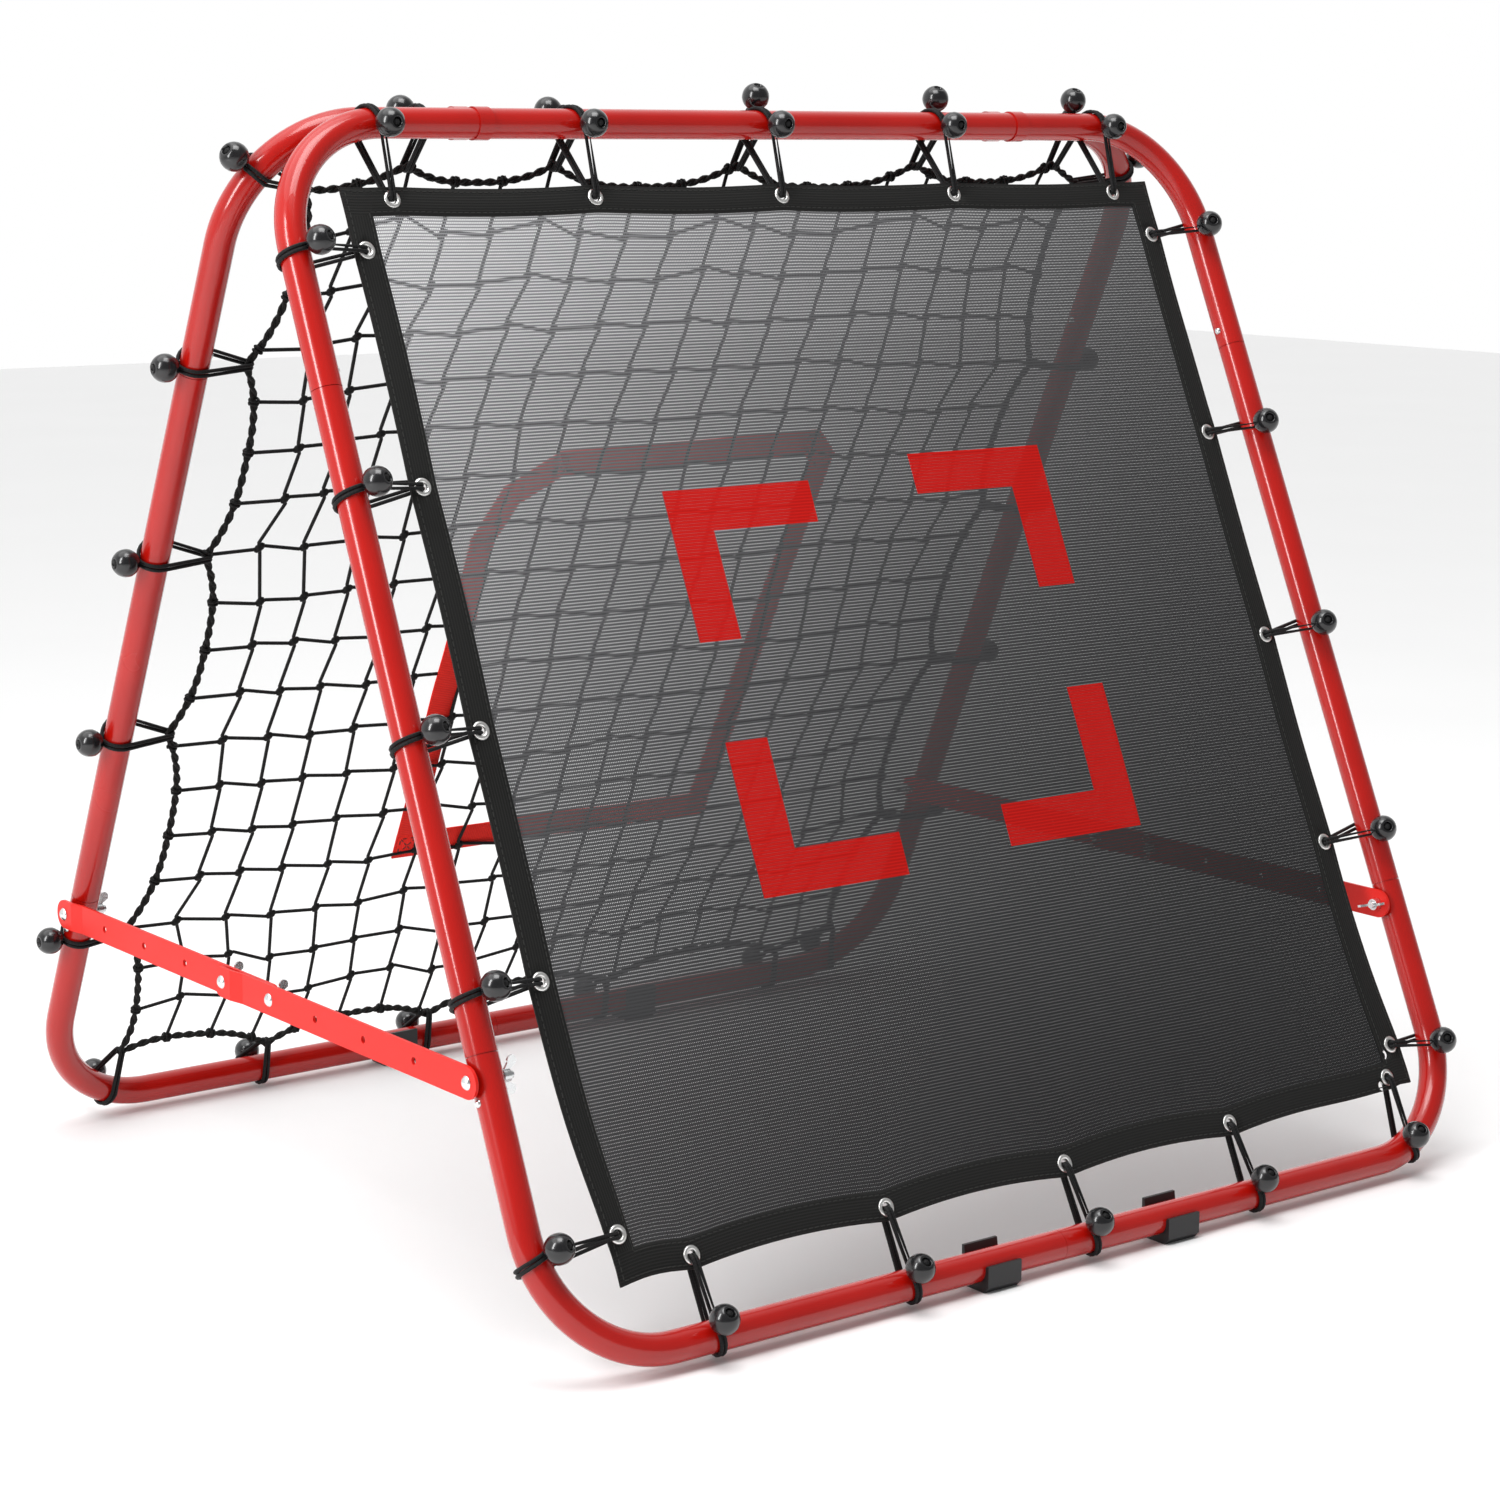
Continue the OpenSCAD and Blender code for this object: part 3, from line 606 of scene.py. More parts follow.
TOP_HOLES = [g.x for g in GROMMETS if g.z > HEAD - NEAR]
LOW_HOLES = [g.x for g in GROMMETS if g.z < FOOT + NEAR]
LEFT_HOLES = [g.z for g in GROMMETS if g.x < LEFT + NEAR]
RIGHT_HOLES = [g.z for g in GROMMETS if g.x > RIGHT - NEAR]


def slack(at, holds, ends):
    """0 at each hold and 1 halfway to the next one."""
    stops = [ends[0], *sorted(holds), ends[1]]
    for a, b in zip(stops, stops[1:]):
        if a <= at <= b:
            share = (at - a) / max(b - a, 1e-6)
            return 4 * share * (1 - share) * min(1, (b - a) / 0.15)
    return 0


def fade(distance, reach=0.07):
    """1 at an edge, dying away within a reach or two of it."""
    return math.exp(-(max(0, distance) / reach) ** 2)


def pulled(point):
    """Where a point of the flat panel goes when the elastics pull it."""
    u, w, v = point
    across = SIDE_PULL * slack(v, LEFT_HOLES, (FOOT, HEAD)) * fade(u - LEFT)
    across -= SIDE_PULL * slack(v, RIGHT_HOLES, (FOOT, HEAD)) * fade(RIGHT - u)
    upward = FOOT_PULL * slack(u, LOW_HOLES, (LEFT, RIGHT)) * fade(v - FOOT)
    upward -= HEAD_PULL * slack(u, TOP_HOLES, (LEFT, RIGHT)) * fade(HEAD - v)
    low = fade(v - FOOT, 0.10)
    across += low * (LEFT_DRAW * fade(u - LEFT, 0.05) + RIGHT_DRAW * fade(RIGHT - u, 0.045))
    upward += low * RIGHT_LIFT * fade(RIGHT - u, 0.05)
    ripple = RIPPLE * noise.noise(Vector((u * 9, v * 9, 3)))
    return Vector((u + across, w + ripple, v + upward))


print("holes:", [len(row) for row in (TOP_HOLES, LOW_HOLES, LEFT_HOLES, RIGHT_HOLES)])

# %% [markdown]
# The target is four corner marks. The sheet is cut along their edges, so that the print has crisp outlines
# made of whole faces, which take the second finish.

# %% The target's four corner marks
MARK_W, MARK_H = 0.042, 0.036      # width of the upright and of the level bars
MARK_REACH_X, MARK_REACH_Z = 0.150, 0.128
MARKS = [                          # outer corner, and which way the bars run from it
    (-0.201, 0.655, 1, -1), (0.213, 0.672, -1, -1),
    (-0.201, 0.316, 1, 1), (0.213, 0.325, -1, 1),
]


def bars(mark):
    """The two bars of a mark as (low x, low z, high x, high z)."""
    x, z, side, up = mark
    level = (x, z, x + side * MARK_REACH_X, z + up * MARK_H)
    upright = (x, z, x + side * MARK_W, z + up * MARK_REACH_Z)
    for x0, z0, x1, z1 in (level, upright):
        yield min(x0, x1), min(z0, z1), max(x0, x1), max(z0, z1)


BARS = [bar for mark in MARKS for bar in bars(mark)]


def printed(point):
    return any(x0 < point.x < x1 and z0 < point.z < z1 for x0, z0, x1, z1 in BARS)


print("bars:", len(BARS))

# %% [markdown]
# The sheet starts as one rectangle, a tuck larger than what shows, because the hem folds over it. Cuts turn it
# into a fine grid that the pull can bend, and its map is taken while it is still flat.


# %% The mesh sheet
def flat_sheet(box, tuck):
    """A rectangle that fills a box in the frame's plane, larger all round by the tuck."""
    bm = bmesh.new()
    bmesh.ops.create_grid(bm, x_segments=1, y_segments=1, size=0.5)
    low, high = box
    bmesh.ops.rotate(bm, verts=bm.verts, matrix=Matrix.Rotation(math.pi / 2, 3, "X"))
    size = (high.x - low.x + 2 * tuck, 1, high.z - low.z + 2 * tuck)
    bmesh.ops.scale(bm, verts=bm.verts, vec=size)
    bmesh.ops.translate(bm, verts=bm.verts, vec=((low.x + high.x) / 2, 0, (low.z + high.z) / 2))
    return bm


def steps(low, high, pitch):
    """Even places between two ends, about a pitch apart."""
    count = round((high - low) / pitch)
    return [low + (high - low) * i / count for i in range(1, count)]


def flat_map(co):
    """The map of a sheet that lies flat: metres across and up."""
    return co.x, co.z


SHEET_PITCH = 0.02
TUCK = 0.004
bar_sides = sorted({x for bar in BARS for x in (bar[0], bar[2])})
bar_ends = sorted({z for bar in BARS for z in (bar[1], bar[3])})
sheet = flat_sheet(mesh_box, TUCK)
cut_at(sheet, 0, bar_sides + steps(LEFT, RIGHT, SHEET_PITCH))
cut_at(sheet, 2, bar_ends + steps(FOOT, HEAD, SHEET_PITCH))
map_loops(sheet, flat_map)
for face in sheet.faces:
    face.material_index = 1 if printed(face.calc_center_median()) else 0
for vert in sheet.verts:
    vert.co = pulled(vert.co)
mesh_sheet = piece(sheet, "mesh_sheet", [black_mesh, printed_mesh], FRONT,
                   "front_frame")
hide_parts("rebound_panel")

# %% [markdown]
# ### The hem
# The hem is webbing folded over the mesh's edge: a flat ring with rounded edges, a hole at each grommet and a
# row of stitches along both edges of each face. It is cut as a ring, thickened, and holed with a Boolean.

# %% The hem
HEM_THICK = 0.0026
HEM_PITCH = 0.0125
HOLE_R = 0.0045
HEM_EDGE = mesh_box[0].x - hem_box[0].x


def bake(made):
    """Puts what the modifiers show into the mesh itself."""
    shown = made.evaluated_get(bpy.context.evaluated_depsgraph_get())
    mesh = bpy.data.meshes.new_from_object(shown)
    made.modifiers.clear()
    made.data = mesh


hem = flat_sheet(hem_box, 0)
cut_at(hem, 0, [mesh_box[0].x, mesh_box[1].x])
cut_at(hem, 2, [mesh_box[0].z, mesh_box[1].z])
hem_middle = (hem_box[0] + hem_box[1]) / 2
inside = min(hem.faces, key=lambda f: (f.calc_center_median() - hem_middle).length)
bmesh.ops.delete(hem, geom=[inside], context="FACES")
cut_at(hem, 0, steps(LEFT, RIGHT, HEM_PITCH))
cut_at(hem, 2, steps(FOOT, HEAD, HEM_PITCH))
map_loops(hem, flat_map)
hem_uv = hem.loops.layers.uv.verify()
for face in hem.faces:
    at = face.calc_center_median()
    if mesh_box[0].z < at.z < mesh_box[1].z:
        for loop in face.loops:
            loop[hem_uv].uv = loop[hem_uv].uv.yx
for vert in hem.verts:
    vert.co = pulled(vert.co)
hem_ring = piece(hem, "panel_hem_webbing", [hem_cloth], FRONT, "front_frame")
thick = hem_ring.modifiers.new("thick", "SOLIDIFY")
thick.thickness = HEM_THICK
thick.offset = 0
soft_edge = hem_ring.modifiers.new("soft edge", "BEVEL")
soft_edge.width = 0.0007
soft_edge.segments = 2
soft_edge.limit_method = "ANGLE"

punch = bmesh.new()
for g in GROMMETS:
    turned = Matrix.Translation((g.x, 0, g.z)) @ Matrix.Rotation(math.pi / 2, 4, "X")
    bmesh.ops.create_cone(punch, cap_ends=True, segments=20, radius1=HOLE_R, radius2=HOLE_R,
                          depth=0.02, matrix=turned)
punch.transform(FRONT)
punch_mesh = bpy.data.meshes.new("punch")
punch.to_mesh(punch_mesh)
punch.free()
punch_tool = stand("punch", punch_mesh)
holes = hem_ring.modifiers.new("holes", "BOOLEAN")
holes.object = punch_tool
holes.solver = "EXACT"
bake(hem_ring)
bpy.data.objects.remove(punch_tool)
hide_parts("panel_hem")
print("hem faces with its holes:", len(hem_ring.data.polygons))

# %% [markdown]
# The hem is held by two rows of thread on each face. A stitch is a small flat bar, and a row is made by walking
# along the edge and leaving a gap after each one.

# %% Stitches along the hem
STITCH, STITCH_GAP = 0.0040, 0.0018
stitches = bmesh.new()


def sew(whole, start, end, face_y, shape=pulled):
    """A row of separate stitches from start to end, lying on one face of the cloth."""
    run = end - start
    count = int(run.length / (STITCH + STITCH_GAP))
    for i in range(count):
        at = shape(start + run * ((i + 0.5) / count))
        turned = Vector((1, 0, 0)).rotation_difference(run.normalized()).to_matrix().to_4x4()
        size = Matrix.Diagonal((STITCH, 0.0006, 0.0009, 1))
        place = Matrix.Translation(at + Vector((0, face_y, 0))) @ turned @ size
        bmesh.ops.create_cube(whole, size=1, matrix=place)


for face_y in (-HEM_THICK / 2, HEM_THICK / 2):
    for row_in in (0.0035, HEM_EDGE - 0.003):
        corners = [Vector((x, 0, z)) for x, z in (
            (LEFT + row_in, FOOT + row_in), (RIGHT - row_in, FOOT + row_in),
            (RIGHT - row_in, HEAD - row_in), (LEFT + row_in, HEAD - row_in))]
        for start, end in zip(corners, corners[1:] + corners[:1]):
            sew(stitches, start, end, face_y)
hem_stitches = piece(stitches, "panel_hem_stitches", [seam_thread], FRONT,
                     "front_frame", smooth=False)

# %% [markdown]
# ### Grommets
# A grommet is two pressed cups, curled together through the hem. Its section is a closed loop of points, which
# is spun once round its axis. The one ring is then copied to every hole.

# %% Grommets
SECTION = [                        # one cup, in millimetres from the axis and from the hem's middle
    (3.6, 0.0), (3.7, 1.5), (4.4, 2.3), (5.6, 2.5), (6.9, 2.1), (7.7, 1.4), (6.0, 1.25), (4.4, 1.2)]


def spun(profile, axis, count):
    """A closed profile, turned once round an axis through the origin."""
    bm = bmesh.new()
    verts = [bm.verts.new(point) for point in profile]
    for a, b in zip(verts, verts[1:] + verts[:1]):
        bm.edges.new((a, b))
    bmesh.ops.spin(bm, geom=bm.verts[:] + bm.edges[:], cent=(0, 0, 0), axis=axis,
                   dvec=(0, 0, 0), angle=FULL_TURN, steps=count, use_merge=True)
    bmesh.ops.remove_doubles(bm, verts=bm.verts, dist=1e-6)
    bmesh.ops.recalc_face_normals(bm, faces=bm.faces)
    return bm


def grommet_ring():
    loop = SECTION + [(r, -y) for r, y in reversed(SECTION[1:])]
    return spun([(r / 1000, y / 1000, 0) for r, y in loop], (0, 1, 0), 28)


def copies(bm, places):
    """The same shape again at each place, all in one bmesh."""
    bm.to_mesh(SCRATCH)
    bm.free()
    whole = bmesh.new()
    for place in places:
        before = len(whole.verts)
        whole.from_mesh(SCRATCH)
        whole.verts.ensure_lookup_table()
        bmesh.ops.transform(whole, matrix=place, verts=whole.verts[before:])
    return whole


def hole_place(grommet):
    """Where a grommet of the flat panel is on the stretched one."""
    return pulled(Vector((grommet.x, 0, grommet.z)))


rings = copies(grommet_ring(), [Matrix.Translation(hole_place(g)) for g in GROMMETS])
grommet_rings = piece(rings, "grommet_rings", [nickel], FRONT, "front_frame")
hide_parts("panel_grommets")

# %% [markdown]
# ## Ball elastics
# Each elastic is a loop of doubled cord, knotted inside a ball. It goes through its grommet, or round the
# net's border rope, and passes the tube on both sides. The ball holds it there. The balls' places say how each
# elastic runs: a ball stands in front of its tube, outside it or behind it.

# %% Where an elastic holds its tube
STRAND_R = 0.0016
SPLAY = 0.0020                     # the two strands stand this far from the middle of a tube's wrap
WRAP_R = TUBE_R + STRAND_R + 0.0003
BALL_R = 0.012


def hook_at(ball):
    """The tube's centre beside a ball, with local x along the tube, y to the rear and z outwards."""
    side, level = HALF - BEND_R, SPAN - BEND_R
    core = Vector((min(max(ball.x, -side), side), 0, min(max(ball.z, BEND_R), level)))
    outward = Vector((ball.x - core.x, 0, ball.z - core.z)).normalized()
    rearward = Vector((0, 1, 0))
    turned = Matrix((rearward.cross(outward), rearward, outward)).transposed().to_4x4()
    return Matrix.Translation(core + outward * BEND_R) @ turned


def arc(centre, radius, x_from, x_to, turn_from, turn_to):
    """Points round a tube, a rope or a rim. Turn 0 is rearward, a quarter turn is outward."""
    count = max(2, math.ceil(abs(turn_to - turn_from) / 0.33))
    points = []
    for i in range(count + 1):
        share = i / count
        turn = turn_from + (turn_to - turn_from) * share
        x = x_from + (x_to - x_from) * share
        points.append(centre + Vector((x, radius * math.cos(turn), radius * math.sin(turn))))
    return points


def elastic_path(ball_turn, hold, hold_r, side, slant):
    """One strand: out of the ball, over the tube to the hold, round it, and back to the ball."""
    beside = side * (STRAND_R + 0.00005)
    wide = side * SPLAY
    neck = WRAP_R + 0.006
    in_ball = Vector((beside * 0.6, neck * math.cos(ball_turn), neck * math.sin(ball_turn)))
    lean = math.asin((WRAP_R - hold_r) / -hold.z)
    rear, front = -lean, math.pi + lean
    first, last = (rear, front) if ball_turn > 3 else (front, rear)
    there = arc(Vector(), WRAP_R, beside, slant[0] + wide, ball_turn, first)
    whole_turn = -FULL_TURN if first == rear else FULL_TURN
    under = arc(hold, hold_r, beside, beside, first, last + whole_turn)
    back = arc(Vector(), WRAP_R, slant[1] + wide, beside, last, ball_turn)
    return [in_ball, *there, *under, *back, in_ball.copy()]


print("elastic cord:", STRAND_R * 2000, "mm, round the tube at", round(WRAP_R * 1000, 1), "mm")

# %% [markdown]
# The front loops pass through the nearest grommet, from behind. The rear loops go round the border rope, which
# they pull out to a point. The rope's outermost lines come from its box. At the corners it is cut across.

# %% The holds of the elastics
rope_box = plane_box("net_border", REAR)
ROPE_R = (rope_box[1].y - rope_box[0].y) / 2
NET_LEFT, NET_RIGHT = rope_box[0].x + ROPE_R, rope_box[1].x - ROPE_R
NET_FOOT, NET_HEAD = rope_box[0].z + ROPE_R, rope_box[1].z - ROPE_R
CORNER = 0.020                     # how far a corner hold is in from both sides of the net


def grommet_hold(ball):
    return hole_place(min(GROMMETS, key=lambda g: (g.x - ball.x) ** 2 + (g.z - ball.z) ** 2))


def rope_hold(ball):
    out = hook_at(ball).col[2]
    if min(abs(out.x), abs(out.z)) > 0.35:
        x = NET_LEFT + CORNER if out.x < 0 else NET_RIGHT - CORNER
        return Vector((x, 0, NET_FOOT + CORNER if out.z < 0 else NET_HEAD - CORNER))
    if abs(out.x) > abs(out.z):
        return Vector((NET_LEFT if out.x < 0 else NET_RIGHT, 0, ball.z))
    return Vector((ball.x, 0, NET_FOOT if out.z < 0 else NET_HEAD))


def strands(balls, hold_of, hold_r, raised, slant):
    """Both strands of every loop, and the mean length of a loop."""
    whole = bmesh.new()
    length = 0
    for ball in balls:
        hook = hook_at(ball)
        seen = hook.inverted() @ ball
        turn = math.atan2(seen.z, seen.y)
        turn = turn + FULL_TURN if turn < -1 else turn
        hold = hook.inverted() @ hold_of(ball) + Vector((0, 0, raised))
        sway = 0.8 + 0.4 * random.random()
        drift = [s * sway for s in slant]
        for side in (-1, 1):
            path = elastic_path(turn, hold, hold_r, side, drift)
            length += lay_cord(whole, [hook @ p for p in path], STRAND_R)
    return whole, length / len(balls)


print("net:", round(NET_RIGHT - NET_LEFT, 3), "x", round(NET_HEAD - NET_FOOT, 3), "m")
print("rope:", round(ROPE_R * 2000, 1), "mm")

# %% [markdown]
# A front loop leans, because its grommet is not square to its ball. A rear loop leans the other way round. The
# lean differs a little from loop to loop, as loops hooked on by hand do.

# %% The elastic cords
front_loops, front_length = strands(FRONT_BALLS, grommet_hold, HOLE_R, HOLE_R, (-0.011, 0))
front_elastics = piece(front_loops, "front_elastics", [elastic], FRONT, "front_frame")
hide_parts("front_bungee_cords")

round_rope = ROPE_R + STRAND_R + 0.0004
rear_loops, rear_length = strands(REAR_BALLS, rope_hold, round_rope, 0, (0.001, 0.014))
rear_elastics = piece(rear_loops, "rear_elastics", [elastic], REAR, "rear_frame")
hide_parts("rear_bungee_cords")
print("cord in one loop: front", round(front_length, 3), "m, rear", round(rear_length, 3), "m")

# %% [markdown]
# ### The balls
# A ball is moulded in two halves, so a fine seam runs round it. It has a narrow hole towards the tube, where
# the cord enters, and a wide one outside, where the knot sits. Its profile is spun about the line of the hole.

# %% The balls
def ball_shape():
    """A ball about the origin, with its knot's recess towards +Z."""
    profile = [(0.0022, 0.004), (0.0022, -0.0085), (0.0026, -0.0108)]
    for k in range(1, 14):
        turn = -math.pi / 2 + 0.22 + k * (math.pi - 0.22 - 0.40) / 14
        bulge = BALL_R - 0.00015 if k != 6 else BALL_R
        profile.append((bulge * math.cos(turn), bulge * math.sin(turn)))
    profile += [(0.0046, 0.0108), (0.0040, 0.0102), (0.0037, 0.0040)]
    return spun([(r, 0, z) for r, z in profile], (0, 0, 1), 24)


def facing_out(ball):
    """Turns a ball so that its recess looks away from the tube."""
    hook = hook_at(ball)
    away = (ball - hook.translation).normalized()
    turned = Vector((0, 0, 1)).rotation_difference(away).to_matrix().to_4x4()
    return Matrix.Translation(ball) @ turned


def knot_shape():
    bm = bmesh.new()
    bmesh.ops.create_icosphere(bm, subdivisions=2, radius=0.0034,
                               matrix=Matrix.Translation((0, 0, 0.0075)))
    for vert in bm.verts:
        vert.co += vert.co.normalized() * 0.0006 * noise.noise(vert.co * 600)
    map_loops(bm, lambda co: (co.x * 1.5, co.y * 90))
    return bm


for balls, plane, name, body, node in (
        (FRONT_BALLS, FRONT, "front", "front_frame", "front_bungee_balls"),
        (REAR_BALLS, REAR, "rear", "rear_frame", "rear_bungee_balls")):
    places = [facing_out(ball) for ball in balls]
    shells = piece(copies(ball_shape(), places), f"{name}_balls", [polished_black], plane,
                   body)
    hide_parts(node)
    piece(copies(knot_shape(), places), f"{name}_ball_knots", [elastic], plane,
          body)

# %% [markdown]
# ## The net
# The rear target is hand net: twine knotted into squares, hung on a twisted border rope. The rope is held only
# where an elastic pulls it, so between two elastics it curves in, and the outer meshes stretch with it. The
# stretch dies away towards the middle.

# %% How the net hangs in its frame
def inset(at, holds, low, high):
    """How far the border rope is in from the net's straight outline, along one side."""
    stops = [(low + CORNER, CORNER), *[(h, 0) for h in sorted(holds)],
             (high - CORNER, CORNER)]
    at = min(max(at, stops[0][0]), stops[-1][0])
    for (a, from_a), (b, from_b) in zip(stops, stops[1:]):
        if at <= b:
            share = (at - a) / (b - a)
            sag = 0.11 * (b - a) * min(1, (b - a) / 0.12)
            return from_a + (from_b - from_a) * share + (1 - abs(2 * share - 1) ** 2.8) * sag
    return CORNER


HOLDS = [rope_hold(ball) for ball in REAR_BALLS]
HEAD_HOLDS = [h.x for h in HOLDS if h.z > NET_HEAD - 0.001]
FOOT_HOLDS = [h.x for h in HOLDS if h.z < NET_FOOT + 0.001]
LEFT_ROPE = [h.z for h in HOLDS if h.x < NET_LEFT + 0.001]
RIGHT_ROPE = [h.z for h in HOLDS if h.x > NET_RIGHT - 0.001]


def head_line(x):
    return Vector((x, 0, NET_HEAD - inset(x, HEAD_HOLDS, NET_LEFT, NET_RIGHT)))


def foot_line(x):
    return Vector((x, 0, NET_FOOT + inset(x, FOOT_HOLDS, NET_LEFT, NET_RIGHT)))


def left_line(z):
    return Vector((NET_LEFT + inset(z, LEFT_ROPE, NET_FOOT, NET_HEAD), 0, z))


def right_line(z):
    return Vector((NET_RIGHT - inset(z, RIGHT_ROPE, NET_FOOT, NET_HEAD), 0, z))


def net_point(s, t):
    """A place in the hung net, from its shares across and up."""
    x = NET_LEFT + CORNER + (NET_RIGHT - NET_LEFT - 2 * CORNER) * s
    z = NET_FOOT + CORNER + (NET_HEAD - NET_FOOT - 2 * CORNER) * t
    wide, tall = NET_RIGHT - NET_LEFT, NET_HEAD - NET_FOOT
    flat = Vector((NET_LEFT + wide * s, 0, NET_FOOT + tall * t))
    near_left, near_right = fade(wide * s, 0.12), fade(wide * (1 - s), 0.12)
    near_foot, near_head = fade(tall * t, 0.12), fade(tall * (1 - t), 0.12)
    place = flat.copy()
    place += near_left * (left_line(z) - Vector((NET_LEFT, 0, flat.z)))
    place += near_right * (right_line(z) - Vector((NET_RIGHT, 0, flat.z)))
    place += near_foot * (foot_line(x) - Vector((flat.x, 0, NET_FOOT)))
    place += near_head * (head_line(x) - Vector((flat.x, 0, NET_HEAD)))
    for side, across in ((near_left, 1), (near_right, -1)):
        for end, up in ((near_foot, 1), (near_head, -1)):
            place -= side * end * CORNER * Vector((across, 0, up))
    return place


print("holds:", [len(row) for row in (HEAD_HOLDS, FOOT_HOLDS, LEFT_ROPE, RIGHT_ROPE)])

# %% [markdown]
# In a knotted net the two twines of a crossing share a short slant through the knot, so every twine takes a
# small step there. The knots differ a little in place and size, as hand work does.

# %% Twines and knots
COLUMNS, ROWS = 18, 18             # meshes across and up
TWINE_R = 0.0016
STEP = 0.0015                      # half a twine's sideways step at a knot
KNOT_HALF = 0.0050                 # a twine is in its knot this far before and after

crossings = {}
for i in range(COLUMNS + 1):
    for j in range(ROWS + 1):
        at = net_point(i / COLUMNS, j / ROWS)
        if 0 < i < COLUMNS and 0 < j < ROWS:
            at += 0.006 * noise.noise_vector(Vector((at.x * 7, 2, at.z * 7)))
            at += Vector([random.uniform(-most, most) for most in (0.002, 0.001, 0.002)])
        crossings[i, j] = at


def twine_path(keys):
    """A twine's way from one side of the rope to the other, with its step at each knot."""
    nodes = [crossings[key] for key in keys]
    whole_run = (nodes[-1] - nodes[0]).normalized()
    aside = whole_run.cross(Vector((0, 1, 0)))
    path = [nodes[0]]
    for node in nodes[1:-1]:
        path += [node - whole_run * KNOT_HALF - aside * STEP, node,
                 node + whole_run * KNOT_HALF + aside * STEP]
    return path + [nodes[-1]]


net = bmesh.new()
twine_length = 0
upright = [[(i, j) for j in range(ROWS + 1)] for i in range(1, COLUMNS)]
sideways = [[(i, j) for i in range(COLUMNS + 1)] for j in range(1, ROWS)]
for keys in upright + sideways:
    twine_length += lay_cord(net, twine_path(keys), TWINE_R, sides=6)
knotted_net = piece(net, "knotted_net", [twine], REAR, "rear_frame")
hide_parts("rebound_net")
print("twine:", round(twine_length, 1), "m")


def small_knot():
    bm = bmesh.new()
    bmesh.ops.create_uvsphere(bm, u_segments=8, v_segments=5, radius=1)
    map_loops(bm, lambda co: (co.z * 0.003, math.atan2(co.y, co.x) / math.pi))
    return bm


knot_places = []
for (i, j), at in crossings.items():
    if 0 < i < COLUMNS and 0 < j < ROWS:
        slant = Matrix.Rotation(math.radians(random.uniform(25, 65)), 4, "Y")
        size = Matrix.Diagonal((0.0036, 0.0032, random.uniform(0.0048, 0.0060), 1))
        knot_places.append(Matrix.Translation(at) @ slant @ size)
piece(copies(small_knot(), knot_places), "net_knots", [twine], REAR, "rear_frame")

# %% [markdown]
# ### The border rope
# The rope is two strands twisted together. Each strand winds round the rope's middle line, half a turn apart
# from the other. The end of every twine is hitched round the rope, so small loops of twine sit on it.

# %% The border rope
TWIST = 0.024                      # length of one full turn of the strands
YARN_R = ROPE_R * 0.64


def on_rope(out, turn, radius):
    """From the rope's middle line to a place round it."""
    return (out * math.cos(turn) + Vector((0, math.sin(turn), 0))) * radius


def sides_of_rope():
    """The rope's middle line, one side at a time, in short steps."""
    low_x, high_x = NET_LEFT + CORNER, NET_RIGHT - CORNER
    low_z, high_z = NET_FOOT + CORNER, NET_HEAD - CORNER
    for line, start, end in ((head_line, low_x, high_x), (right_line, high_z, low_z),
                             (foot_line, high_x, low_x), (left_line, low_z, high_z)):
        count = 250
        yield [line(start + (end - start) * i / count) for i in range(count + 1)]


def twisted(middle, start_turn):
    """A strand wound round a middle line."""
    path, turn = [], start_turn
    for before, at, after in zip([middle[0]] + middle, middle, middle[1:] + [middle[-1]]):
        run = (after - before).normalized()
        aside = run.cross(Vector((0, 1, 0)))
        path.append(at + on_rope(aside, turn, ROPE_R * 0.52))
        turn += FULL_TURN * (after - at).length / TWIST
    return path


rope = bmesh.new()
rope_length = 0
for middle in sides_of_rope():
    for start_turn in (0, math.pi):
        rope_length += lay_cord(rope, twisted(middle, start_turn), YARN_R)
border_rope = piece(rope, "border_rope", [rope_yarn], REAR, "rear_frame")
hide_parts("net_border")
print("rope strands:", round(rope_length, 2), "m")

hitches = bmesh.new()
for (i, j), at in crossings.items():
    on_side, on_end = i in (0, COLUMNS), j in (0, ROWS)
    if on_side == on_end:
        continue
    neighbour = crossings[(i, j + 1) if on_side else (i + 1, j)]
    run = (neighbour - at).normalized()
    out = run.cross(Vector((0, 1, 0)))
    for shift in (-0.0016, 0.0016):
        ring = [at + run * (shift + 0.0006 * k / 5) + on_rope(out, k * 0.7, ROPE_R + 0.0008)
                for k in range(10)]
        lay_cord(hitches, ring, TWINE_R * 0.8, sides=6)
piece(hitches, "rope_hitches", [twine], REAR, "rear_frame")

# %% [markdown]
# ### The target's webbing
# The strike zone is a band of red webbing, sewn to the back of the net. At its upper corners the band is
# folded across, and every joint is an overlap with a box of stitches. Each run is a flat strip that follows
# the net's small waves.

# %% The strike zone webbing
zone = plane_box("strike_zone_webbing", REAR)
BAND = 0.026
BAND_THICK = 0.0016


def overlap(before, corner, after):
    """How far a run goes on past a corner, so that the outer edges of both runs meet."""
    return BAND / 2 * math.tan((corner - before).angle(after - corner) / 2)


